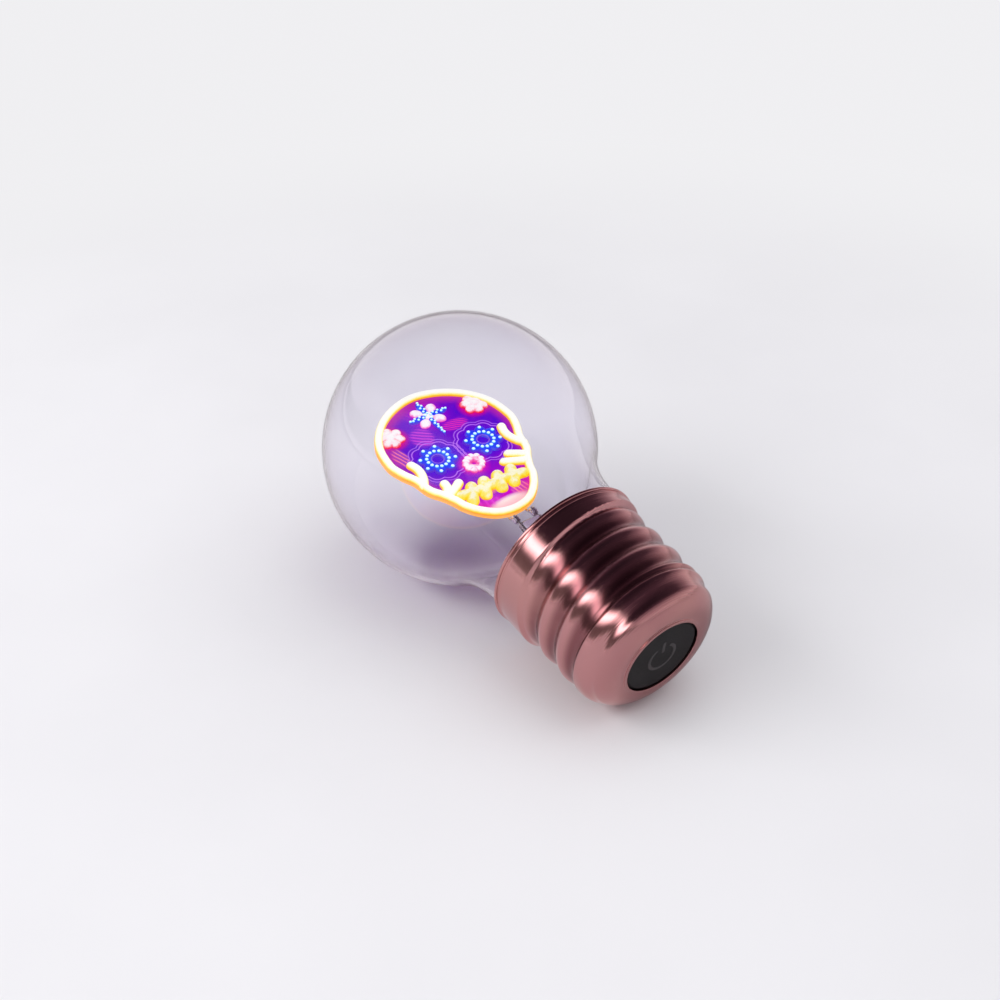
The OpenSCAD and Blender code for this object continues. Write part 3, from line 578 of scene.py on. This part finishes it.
# The nose is a heart of small beads round a dark hole, in pink silicone over one lit ring.
# The beads are moulded in one piece, so they run into each other.
NOSE_Z = SKULL_Z + 0.392 * SKULL_H
pink = lit("pink_diffuser", [
    (0.0, (0.8, 0.01, 0.3)), (0.4, (0.95, 0.12, 0.45)), (0.62, (1.0, 0.5, 0.72)), (0.8, (1.0, 0.9, 0.97)),
    (1.0, (1.0, 0.97, 1.0))], 1.0, 0.25, 900.0)
turns = (np.arange(11) + 0.5) * 2 * np.pi / 11 + np.pi / 2
spread = 2.85 + 0.35 * np.cos(2 * (turns - 0.9)) - 0.3 * np.maximum(np.sin(turns), 0) ** 8
grids, marks = domes([(r * math.cos(a), NOSE_Z + r * math.sin(a)) for r, a in zip(spread, turns)], 1.22, 1.0, 0.3, 18)
base, mark = pad(0.0, NOSE_Z, np.full(96, 3.4), 0.75, 0.95, np.linspace(0, 2 * np.pi, 96, endpoint=False))
surface("nose_beads", grids + [(base, True, True)], pink, ["nose_heart"], marks=marks + [mark * 0.7])

# On the forehead a blue cross of lights lies over a blossom of four pale petals. Its lower arm
# is long and tapers to a point between the eyes.
CROSS_Z = SKULL_Z + 0.832 * SKULL_H


def leaf(x, z, length, width, height, turn, base=0.0, taper=0.0):
    """A leaf: an oval dome, longer than wide, that can taper to its far end."""
    tilt = np.linspace(0, np.pi / 2, 8)
    angle = np.linspace(0, 2 * np.pi, 40, endpoint=False)
    flat = np.append(0, np.cos(tilt))[:, None]
    rise = np.append(0, np.sin(tilt))[:, None]
    along = flat * np.cos(angle) * length
    aside = flat * np.sin(angle) * width * (1 - taper * (along / length + 1) / 2)
    return (np.stack([
        x + along * math.cos(turn) - aside * math.sin(turn),
        np.broadcast_to(PLATE_Y - base - height * rise ** 0.7, along.shape),
        z + along * math.sin(turn) + aside * math.cos(turn)], axis=-1), True, False), rise


arms = [leaf(3.25 * math.cos(a), CROSS_Z + 3.25 * math.sin(a), 3.85, 1.35, 0.75, a)
        for a in (0, math.pi / 2, math.pi)]
arms.append(leaf(0, CROSS_Z - 4.8, 5.7, 1.4, 0.72, -math.pi / 2, taper=0.75))
surface("cross_arms", [a[0] for a in arms], blue, ["forehead_cross"], marks=[a[1] for a in arms])
dots = [(d * math.cos(a) + 0.45 * s * math.sin(a), CROSS_Z + d * math.sin(a) - 0.45 * s * math.cos(a))
        for a in (0, math.pi / 2, math.pi)
        for d, s in ((0.9, 0.5), (2.0, -1), (2.9, 1), (3.8, -1), (4.7, 1), (5.6, -0.4), (6.5, 0.2))]
dots += [(0.4 * (-1) ** k * (1 - k / 10), CROSS_Z - 1.6 - 0.95 * k) for k in range(9)]
grids, marks = domes(dots, 0.46, 0.45, 0.72)
surface("cross_lights", grids, lamp_rim, ["cross_lights"], marks=marks)
pale = lit("blossom_diffuser", [
    (0.0, (0.8, 0.02, 0.5)), (0.3, (0.98, 0.26, 0.64)), (0.55, (1.0, 0.62, 0.84)), (0.78, (1.0, 0.9, 0.97)),
    (1.0, (1.0, 0.97, 1.0))], 1.0, 0.3, 620.0)
petals = [leaf(3.8 * math.cos(a), CROSS_Z + 3.8 * math.sin(a), 2.2, 1.75, 0.95, a)
          for a in np.arange(4) * math.pi / 2 + math.pi / 4]
petals.append(leaf(0.0, CROSS_Z, 2.3, 2.3, 0.72, 0.0))
surface("blossom", [p[0] for p in petals], pale, ["forehead_petals"], marks=[p[1] for p in petals])

# A red flower is cut in half by the outline on each side of the crown. Its petals burn out to
# a pinkish white in their middle and stay red along their edge.
SIDE_X = 0.7 * SKULL_W / 2
SIDE_Z = SKULL_Z + 0.784 * SKULL_H
red = lit("red_diffuser", [
    (0.0, (0.8, 0.0, 0.05)), (0.28, (0.98, 0.03, 0.1)), (0.52, (1.0, 0.3, 0.38)), (0.72, (1.0, 0.8, 0.84)),
    (1.0, (1.0, 0.96, 0.97))], 1.0, 0.3, 620.0)
flowers = []
for side in (1, -1):
    for turn in (100, 155, 215, 270, 320):
        a = math.radians(turn if side > 0 else 180 - turn)
        flowers.append(leaf(side * SIDE_X + 2.5 * math.cos(a), SIDE_Z + 2.5 * math.sin(a), 2.2, 1.8, 1.05, a))
    flowers.append(leaf(side * (SIDE_X + 0.5), SIDE_Z + 0.3, 2.8, 2.8, 1.1, 0.0))
surface("side_blossoms", [f[0] for f in flowers], red, ["side_flowers"], marks=[f[1] for f in flowers])

# The base is one rolled sheet: a plain collar with a turned rim and a fine bead, a coarse round
# thread, and a spun shoulder that ends in a flat lip. It is plated in a warm rose tone.
COLLAR_R, ROOT_R, DEPTH, PITCH, CREST_Z = 24.4, 21.9, 1.45, 8.2, 12.25
SHOULDER_R, SHOULDER_ARC, LIP_H, LIP_W, HOLE_R, SHEET = 23.0, 9.4, 0.35, 1.0, 12.25, 0.7
ARC_R, ARC_Z, THREAD_TOP = SHOULDER_R - SHOULDER_ARC, SHOULDER_ARC + LIP_H, RIM_Z - 3.6


def ease(t):
    """A soft step: 0 below 0, 1 above 1, and three t squared less two t cubed between."""
    t = np.clip(t, 0, 1)
    return t * t * (3 - 2 * t)


SIDES = 216
angle = np.linspace(0, 2 * np.pi, SIDES, endpoint=False)
# The collar's lower edge wanders round the base: its height at so many degrees, smoothed.
foot_turns = [0, 30, 60, 90, 120, 151, 180, 205, 240, 280, 302, 324, 360]
foot_heights = [39.2, 38.6, 36.4, 33.6, 31.6, 31.0, 32.4, 34.0, 35.1, 36.3, 37.4, 39.0, 39.2]
collar_foot = np.interp(np.degrees(angle), foot_turns, foot_heights)
collar_foot = np.convolve(np.tile(collar_foot, 3), np.ones(17) / 17, "same")[SIDES:2 * SIDES]


def wave(z):
    """The rolled wave, 1 on a crest and 0 in a groove: a cosine that climbs a pitch in each turn."""
    return (1 + np.cos(2 * np.pi * (z - CREST_Z) / PITCH - angle)) / 2


def thread_r(z):
    """Radius of the rolled sheet at each angle: root plus wave, joined to the shoulder below and the collar above."""
    rolled = (ROOT_R + (SHOULDER_R - ROOT_R) * (1 - ease((z - ARC_Z) / 1.7))
              + DEPTH * ease((z - ARC_Z - 0.8) / 2.2) * wave(z))
    share = ease((z - collar_foot) / 1.3)
    return rolled * (1 - share) + COLLAR_R * share


lip = [(HOLE_R, 0.9), (HOLE_R, 0.12), (HOLE_R + 0.12, 0.0), (HOLE_R + LIP_W - 0.14, 0.0), (HOLE_R + LIP_W, 0.14),
       (HOLE_R + LIP_W, LIP_H - 0.08), (HOLE_R + LIP_W + 0.1, LIP_H)]
bow = np.linspace(-np.pi / 2, 0, 46)[:, None]
climb = np.linspace(ARC_Z, THREAD_TOP, 122)[1:-1, None]


def thread_wall(inset, heights):
    """The threaded wall: its radius at every height and angle, less the inset."""
    radius = thread_r(heights) - inset
    return np.stack([radius * np.cos(angle), radius * np.sin(angle), np.broadcast_to(heights, radius.shape)], axis=-1)


def shoulder_wall(inset, turn):
    """The shoulder's quarter round, in which the last groove of the thread fades out."""
    z = ARC_Z + (SHOULDER_ARC - inset) * np.sin(turn)
    groove = (1 - wave(z)) ** 1.5 * ease((z - 3.0) / 2.5) * ease((ARC_Z - z) / 1.5)
    radius = ARC_R + (SHOULDER_ARC - inset) * np.cos(turn) - 0.85 * groove
    return np.stack([radius * np.cos(angle), radius * np.sin(angle), np.broadcast_to(z, radius.shape)], axis=-1)


rim = [(COLLAR_R, THREAD_TOP), (COLLAR_R, RIM_Z - 2.25)]
rim += [(COLLAR_R - 0.08 + 0.3 * math.cos(t), RIM_Z - 1.9 + 0.3 * math.sin(t)) for t in np.linspace(-1.2, 1.2, 9)]
rim += [(COLLAR_R, RIM_Z - 1.5)]
rim += [(COLLAR_R + 0.5 * math.cos(t), RIM_Z - 0.5 + 0.5 * math.sin(t)) for t in np.linspace(-1.5, 2.6, 16)]
rim += [(COLLAR_R - SHEET, RIM_Z - 0.7), (COLLAR_R - SHEET, THREAD_TOP)]
shell = np.concatenate([
    turned(lip, SIDES), shoulder_wall(0.0, bow), thread_wall(0.0, climb), turned(rim, SIDES),
    thread_wall(SHEET, climb[::-1]), shoulder_wall(SHEET, bow[::-1]), turned([(HOLE_R, LIP_H + SHEET)], SIDES)])
PORT_Z, PORT_W, PORT_H = 11.95, 12.0, 5.6


def port_opening(points):
    """True inside a round-ended slot on the far side: nearer its middle line than half its height."""
    past = np.maximum(np.abs(points[:, 0]) - (PORT_W - PORT_H) / 2, 0)
    return (np.hypot(past, points[:, 2] - PORT_Z) < PORT_H / 2 - 0.35) & (points[:, 1] > 15)


# Painted shade: the plating's colour is darkened down in the thread's grooves, and on the shoulder towards the lip
# where it turns under. The same mark also gives the crests more coat and less roughness.
reach = np.hypot(shell[..., 0], shell[..., 1])
painted_groove_shade = np.clip((reach - ROOT_R + 0.2) / (DEPTH + 0.4), 0, 1)
painted_groove_shade = np.where(shell[..., 2] < ARC_Z, np.clip(0.55 + shell[..., 2] / 22, 0, 1), painted_groove_shade)
DENT = (-0.01286, -0.01949, 0.03109)
rose, tone, shader = finish("rose_plating", {"Metallic": 1.0, "Coat Roughness": 0.08})
height = tone.mark("mark")
smear = tone.noise(38.0, 4.0)
rolled = tone.noise(90.0, 2.0, (1.0, 1.0, 42.0))
# Painted shade: dark in the grooves, light on the crests.
colour = tone.blend(height.within(0.15, 0.9), (0.28, 0.11, 0.12, 1), (0.64, 0.31, 0.31, 1))
colour = tone.blend(smear.within(0.4, 0.75) * 0.5, colour, (0.7, 0.36, 0.32, 1))
dent = tone.node("VectorMath", {"operation": "DISTANCE"}, {0: tone.place(), 1: DENT}, "Value") * 1000.0
feed(shader, {
    "Base Color": colour,
    "Roughness": 0.09 + smear * 0.08 + (1.0 - height) * 0.05 + tone.noise(700.0, 2.0).within(0.55, 0.8) * 0.07,
    "Coat Weight": height * 0.25,
    "Normal": tone.bump(rolled * 0.3 + dent.within(0.15, 0.55), 0.4, 0.0004)})
surface("screw_base", [(shell, True, True)], rose, ["screw_shell"], marks=[painted_groove_shade], sharp=40,
        hole=port_opening)

# The charging port sits in a slot of the shoulder, with a matt black moulded bezel clipped into
# it. A milky lens beside it shows the charging light.
black, tone, shader = finish("moulded_black", {"Specular IOR Level": 0.4})
grain = tone.noise(2600.0, 2.0)
feed(shader, {
    "Base Color": tone.ramp(tone.noise(240.0), [(0.3, (0.012, 0.012, 0.014)), (0.7, (0.03, 0.03, 0.033))]),
    "Roughness": 0.42 + grain * 0.2, "Normal": tone.bump(grain, 0.25, 0.0002)})


def stadium(width, height, count=16):
    """A slot with round ends as (x, z) points: two half circles joined by straight sides."""
    turn = np.linspace(-np.pi / 2, np.pi / 2, count)
    right = np.stack([np.cos(turn), np.sin(turn)], axis=-1) * height / 2 + ((width - height) / 2, 0)
    top = np.stack([np.linspace(1, -1, 8)[1:-1] * (width - height) / 2, np.full(6, height / 2)], axis=-1)
    return np.concatenate([right, top, -right, -top])


FACE_R = ROOT_R + DEPTH + 0.1
rows = []
for grow, sink in (
        (8.2, None), (8.2, 0.6), (8.5, 0.2), (9.1, 0.0), (11.4, 0.0), (11.85, 0.1), (12.0, 0.4), (12.0, None)):
    loop = stadium(grow, grow - (4.8 if grow < 10 else 6.4))
    front = np.full(len(loop), 20.9) if sink is None else np.sqrt(FACE_R ** 2 - loop[:, 0] ** 2) - sink
    rows.append(np.stack([loop[:, 0], front, loop[:, 1] + PORT_Z], axis=-1))
surface("port_bezel_ring", [(np.stack(rows), True, True)], black, ["port_bezel"], sharp=35)
milky, tone, shader = finish("milky_lens", {"Transmission Weight": 0.3, "IOR": 1.49})
feed(shader, {
    "Base Color": tone.ramp(tone.noise(900.0), [(0.3, (0.72, 0.8, 0.74)), (0.7, (0.88, 0.93, 0.88))]),
    "Roughness": 0.3 + tone.noise(1500.0) * 0.15})
cap = np.linspace(0, np.pi / 2, 9)
profile = [(0.0, 17.6), (1.1, 17.6), (1.1, 22.6)] + [(1.1 * math.cos(t), 22.65 + 0.45 * math.sin(t)) for t in cap]
lens = turned(profile, 32)
out = math.radians(65)
lens = np.stack([
    lens[..., 2] * math.cos(out) - lens[..., 0] * math.sin(out),
    lens[..., 2] * math.sin(out) + lens[..., 0] * math.cos(out),
    lens[..., 1] + 12.0], axis=-1)
surface("charge_light", [(lens, True, False)], milky, ["charge_lens"], sharp=50)

# The end of the base is one soft rubbery push button in a round hole. Its edge is rounded over,
# and a broken ring with a bar, the common sign for on and off, stands a hair proud of its face.
rubber, tone, shader = finish("soft_touch_rubber", {"Specular IOR Level": 0.28})
grain = tone.noise(1900.0, 3.0)
rubbed = tone.mark("mark")
colour = tone.ramp(tone.noise(120.0, 4.0), [(0.3, (0.005, 0.0045, 0.005)), (0.72, (0.012, 0.011, 0.012))])
feed(shader, {
    "Base Color": tone.blend(rubbed, colour, (0.03, 0.027, 0.028, 1)),
    "Roughness": 0.52 + grain * 0.22 - rubbed * 0.3,
    "Normal": tone.bump(grain, 0.3, 0.0002)})
BUTTON_R, BUTTON_Z = 11.95, 0.5
SIGN_R, SIGN_GAP, STROKE, BAR_OUT, BAR_IN, RAISED = 4.4, 0.62, 0.62, 5.6, 2.2, 0.14
radius = np.linspace(0, 7.4, 62)
angle = np.linspace(0, 2 * np.pi, 216, endpoint=False)
x, y = radius[:, None] * np.cos(angle), radius[:, None] * np.sin(angle)
away = np.abs((angle + np.pi / 2 + np.pi) % (2 * np.pi) - np.pi)
ends = np.array([(side * SIGN_R * math.sin(SIGN_GAP), -SIGN_R * math.cos(SIGN_GAP)) for side in (1, -1)])
gap = np.minimum(np.hypot(x - ends[0, 0], y - ends[0, 1]), np.hypot(x - ends[1, 0], y - ends[1, 1]))
ring_gap = np.where(away[None] < SIGN_GAP, gap, np.abs(np.hypot(x, y) - SIGN_R))
bar_gap = np.hypot(x, np.maximum(np.maximum(-BAR_OUT - y, y + BAR_IN), 0))
raised = ease((STROKE - np.minimum(ring_gap, bar_gap)) / 0.22)
face = np.stack([x, y, BUTTON_Z - RAISED * raised], axis=-1)
edge_turn = np.linspace(0, np.pi / 2, 8)
side = [(9.6, BUTTON_Z)]
side += [(BUTTON_R - 0.6 + 0.6 * math.sin(t), BUTTON_Z + 0.6 - 0.6 * math.cos(t)) for t in edge_turn]
side += [(BUTTON_R, 1.35), (BUTTON_R + 1.4, 1.35), (BUTTON_R + 1.45, 1.4), (BUTTON_R + 1.45, 2.5),
         (BUTTON_R + 1.4, 2.55), (2.7, 2.55), (2.6, 2.65), (2.6, 4.9), (2.5, 5.0), (0.0, 5.0)]
button = np.concatenate([face, turned(side, 216)])
marks = np.concatenate([raised, np.zeros((len(side), 216))])
surface("push_button", [(button, True, False)], rubber, ["end_button"],
        body="button", marks=[marks], sharp=50)


# Inside the base a moulded carrier holds the cell, the board and the switch. These parts keep the
# shapes of the solids and take their finishes here, each with the grain of its own material.
def dress(node, material):
    """Gives a solid of the frame its finish."""
    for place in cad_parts[node].material_slots:
        place.material = material


def moulded(name, low, high, roughness, grain_size=1400.0):
    """A moulded or painted finish: two shades in soft clouds under a fine grain."""
    made, tone, shader = finish(name, {})
    grain = tone.noise(grain_size, 2.0)
    feed(shader, {
        "Base Color": tone.ramp(tone.noise(grain_size / 9, 4.0), [(0.3, low), (0.7, high)]),
        "Roughness": roughness + grain * 0.2, "Normal": tone.bump(grain, 0.2, 0.0003)})
    return made


def bare_metal(name, low, high, roughness, stretch=(1.0, 1.0, 1.0)):
    """Bare or plated metal: two shades in fine streaks, which also roughen it."""
    made, tone, shader = finish(name, {"Metallic": 1.0})
    streak = tone.noise(1100.0, 3.0, stretch)
    feed(shader, {"Base Color": tone.ramp(streak, [(0.3, low), (0.7, high)]), "Roughness": roughness + streak * 0.2})
    return made


cement, tone, shader = finish("lamp_cement", {})
pores = tone.noise(900.0, 5.0)
feed(shader, {
    "Base Color": tone.ramp(pores, [(0.3, (0.5, 0.47, 0.4)), (0.55, (0.78, 0.75, 0.68)), (0.8, (0.86, 0.84, 0.78))]),
    "Roughness": 0.75 + pores * 0.2, "Normal": tone.bump(pores, 0.6, 0.0006)})
dress("cement_ring", cement)
dress("carrier", moulded("white_nylon", (0.72, 0.72, 0.69), (0.84, 0.84, 0.81), 0.38))
dress("board_screws", bare_metal("zinc_screw", (0.5, 0.5, 0.52), (0.74, 0.74, 0.76), 0.2))
wrap, tone, shader = finish("shrink_wrap", {"Coat Weight": 0.4, "Coat Roughness": 0.12})
along = abs(tone.along(0))
ends = along.within(16.35, 16.5)
sleeve_colour = tone.ramp(tone.noise(200.0, 3.0), [(0.3, (0.02, 0.16, 0.34)), (0.7, (0.03, 0.22, 0.42))])
feed(shader, {
    "Base Color": tone.blend(ends, sleeve_colour, (0.62, 0.6, 0.57, 1)), "Metallic": ends,
    "Roughness": 0.28 + tone.noise(900.0) * 0.15, "Normal": tone.bump(tone.noise(150.0, 2.0), 0.15, 0.0005)})
dress("battery_cell", wrap)
dress("cell_contacts", bare_metal("nickel_strip", (0.5, 0.48, 0.45), (0.76, 0.73, 0.68), 0.22, (1.0, 1.0, 8.0)))
foam, tone, shader = finish("grey_foam", {})
cells = tone.node("TexVoronoi", {}, {"Vector": tone.place(), "Scale": 1600.0})
feed(shader, {
    "Base Color": tone.ramp(cells, [(0.0, (0.05, 0.05, 0.055)), (0.8, (0.14, 0.14, 0.15))]),
    "Roughness": 0.85 + cells * 0.1, "Normal": tone.bump(cells, 0.7, 0.0005)})
dress("cell_pad", foam)
dress("closing_disc", moulded("pressed_card", (0.34, 0.3, 0.3), (0.46, 0.42, 0.42), 0.7, 900.0))
board, tone, shader = finish("green_board", {"Coat Weight": 0.3, "Coat Roughness": 0.15})
tracks = tone.node("TexVoronoi", {"distance": "MANHATTAN", "feature": "F1"}, {"Vector": tone.place(), "Scale": 420.0})
copper = 1.0 - abs(tracks - 0.55).within(0.02, 0.06)
feed(shader, {
    "Base Color": tone.blend(copper, (0.008, 0.1, 0.04, 1), (0.03, 0.22, 0.09, 1)),
    "Roughness": 0.32 + tone.noise(1200.0) * 0.15, "Normal": tone.bump(copper, 0.3, 0.0002)})
dress("circuit_board", board)
dress("board_parts", moulded("chip_resin", (0.012, 0.012, 0.014), (0.04, 0.04, 0.043), 0.45, 2200.0))
dress("charge_socket", bare_metal("stamped_steel", (0.42, 0.42, 0.44), (0.72, 0.72, 0.75), 0.18, (6.0, 1.0, 1.0)))
tongue, tone, shader = finish("tongue_contacts", {})
place = tone.along(0)
depth = tone.along(1)
pads_on = 1.0 - abs(tone.maths("SINE", place * 6.28)).within(0.45, 0.6)
pads_on = pads_on * (1.0 - abs(place).within(2.7, 2.8)) * depth.within(17.6, 17.7) * (1.0 - depth.within(21.0, 21.1))
feed(shader, {
    "Base Color": tone.blend(pads_on, (0.02, 0.02, 0.022, 1), (0.8, 0.58, 0.24, 1)), "Metallic": pads_on,
    "Roughness": 0.3 + tone.noise(1500.0) * 0.15})
dress("socket_tongue", tongue)
dress("switch_body", moulded("switch_black", (0.02, 0.02, 0.02), (0.05, 0.05, 0.05), 0.4, 2000.0))
dress("switch_plunger", moulded("plunger_red", (0.4, 0.02, 0.02), (0.55, 0.04, 0.03), 0.35, 2000.0))
dress("feed_wire_left", moulded("black_sheath", (0.015, 0.015, 0.017), (0.04, 0.04, 0.042), 0.35, 1800.0))
dress("feed_wire_right", moulded("red_sheath", (0.4, 0.015, 0.015), (0.55, 0.03, 0.025), 0.35, 1800.0))

# The studio: one pale board that the bulb lies on, two soft lamps over it, and a pale room. The
# board is seen from its front alone, so it never hides the bulb from behind.
def unit(v):
    """The vector at a length of 1."""
    return v / np.linalg.norm(v)


UP = unit(np.array([0.0785, -0.971, 0.226]))
SIDE = unit(np.cross(UP, (0.0, 0.0, 1.0)))
BACK = np.cross(UP, SIDE)
foot_point = np.array([0, 0, GLOBE_Z]) * 0.001 - UP * GLOBE_R * 0.001
span = np.linspace(-4, 4, 9)
ground = foot_point + span[:, None, None] * SIDE + span[None, :, None] * BACK
paper, tone, shader = finish("pale_paper", {"Specular IOR Level": 0.2})
feed(shader, {
    "Base Color": tone.ramp(tone.noise(9.0, 3.0), [(0.35, (0.83, 0.82, 0.84)), (0.65, (0.86, 0.85, 0.87))]),
    "Roughness": 0.7 + tone.noise(400.0) * 0.2})
plain = tone.ray("Is Camera Ray")
away = tone.node("VectorMath", {"operation": "DISTANCE"}, {0: tone.place(), 1: tuple(foot_point)}, "Value")
even = tone.node("Emission", {}, {"Color": (0.87, 0.865, 0.885, 1)})
lit_side = tone.node("MixShader", {}, {
    0: plain * away.within(0.16, 0.45), 1: Tone(tone.tree, shader.outputs[0]), 2: even})
behind = tone.node("NewGeometry", {}, {}, "Backfacing")
clear = tone.node("BsdfTransparent", {}, {})
mixed = tone.node("MixShader", {}, {0: behind, 1: lit_side, 2: clear})
tone.tree.links.new(mixed.socket, paper.node_tree.nodes["Material Output"].inputs[0])
mesh = bpy.data.meshes.new("paper_board")
index = np.arange(81).reshape(9, 9)
quads = np.stack([index[:-1, :-1], index[1:, :-1], index[1:, 1:], index[:-1, 1:]], axis=-1).reshape(-1, 4)
mesh.from_pydata(ground.reshape(-1, 3).tolist(), [], quads.tolist())
if np.dot(mesh.polygons[0].normal, UP) < 0:
    mesh.flip_normals()
mesh.materials.append(paper)
floor = bpy.data.objects.new("paper_board", mesh)
bpy.context.scene.collection.objects.link(floor)

room = bpy.data.worlds.new("pale_room")
room.use_nodes = True
bpy.context.scene.world = room
tone = Tone(room.node_tree)
rays = tone.ray("Is Camera Ray")
mirror = tone.maths("MINIMUM", tone.ray("Glossy Depth"), 1.0)
through = tone.ray("Is Transmission Ray")
seen = tone.maths("MINIMUM", rays + through, 1.0) * (1.0 - mirror)
way = tone.node("TexCoord", {}, {}, "Generated")
over = tone.node("VectorMath", {"operation": "DOT_PRODUCT"}, {0: way, 1: tuple(UP)}, "Value")
# Polished metal sees a pale floor that darkens upwards, a dim band, and one bright pane of a window.
# Clean glass shows the pane weakly, so that it doesn't veil the figure.
sky = tone.ramp(over, [
    (0.0, (0.78, 0.74, 0.76)), (0.16, (0.62, 0.56, 0.59)), (0.36, (0.3, 0.24, 0.28)), (0.6, (0.07, 0.045, 0.065)),
    (1.0, (0.02, 0.012, 0.02))])
aside = tone.node("VectorMath", {"operation": "DOT_PRODUCT"}, {0: way, 1: tuple(SIDE)}, "Value")
along = tone.node("VectorMath", {"operation": "DOT_PRODUCT"}, {0: way, 1: tuple(BACK)}, "Value")
height = tone.maths("ARCTAN2", over, aside)
pane = height.within(0.4, 0.66) * (1.0 - height.within(0.7, 0.92)) * (1.0 - abs(along).within(0.55, 0.95))
dusk = height.within(0.04, 0.12) * (1.0 - height.within(0.36, 0.46))
sky = tone.blend(dusk * 0.8, sky, (0.1, 0.085, 0.075, 1))
smooth_glass = tone.ray("Is Singular Ray")
sky = tone.blend(pane * (1.0 - smooth_glass * 0.88), sky, (3.4, 3.2, 3.25, 1))
colour = tone.blend(mirror, (0.62, 0.62, 0.64, 1), sky)
colour = tone.blend(seen, colour, (0.9, 0.895, 0.915, 1))
room.node_tree.links.new(colour.socket, room.node_tree.nodes["Background"].inputs["Color"])
MIDDLE = np.array([0, 0, 0.07])
for name, spot, size, power in (
        ("window_lamp", (0.78, 0.66, -0.3), (0.34, 1.1), 5.2), ("fill_lamp", (-0.35, 1.0, 0.2), (1.0, 1.0), 3.0)):
    lamp = bpy.data.lights.new(name, "AREA")
    lamp.shape = "RECTANGLE"
    lamp.size, lamp.size_y = size
    lamp.energy = power
    stand = bpy.data.objects.new(name, lamp)
    stand.visible_glossy = stand.visible_transmission = False
    where = MIDDLE + SIDE * spot[0] + UP * spot[1] + BACK * spot[2]
    bpy.context.scene.collection.objects.link(stand)
    aim = unit(MIDDLE - where)
    wide = unit(np.cross(BACK, aim))
    turn = np.column_stack([wide, np.cross(-aim, wide), -aim, where])
    stand.matrix_world = Matrix(np.vstack([turn, (0, 0, 0, 1)]).tolist())

# The camera looks along the bulb past its end, as the photograph does. It stands 0.42 m from the
# middle of the bulb, and its matrix holds its right, its up, its back and its place.
camera = bpy.data.cameras.new("camera")
camera.lens = 50.4
camera.sensor_width = 36.0
camera.clip_start = 0.01
eye = bpy.data.objects.new("camera", camera)
eye.matrix_world = Matrix((
    (0.8134, 0.37587, -0.44396, -0.18816), (-0.05931, -0.70565, -0.70608, -0.29517),
    (-0.57867, 0.60066, -0.55168, -0.15799), (0, 0, 0, 1)))
bpy.context.scene.collection.objects.link(eye)
bpy.context.scene.camera = eye
bpy.context.scene.view_settings.view_transform = "Standard"
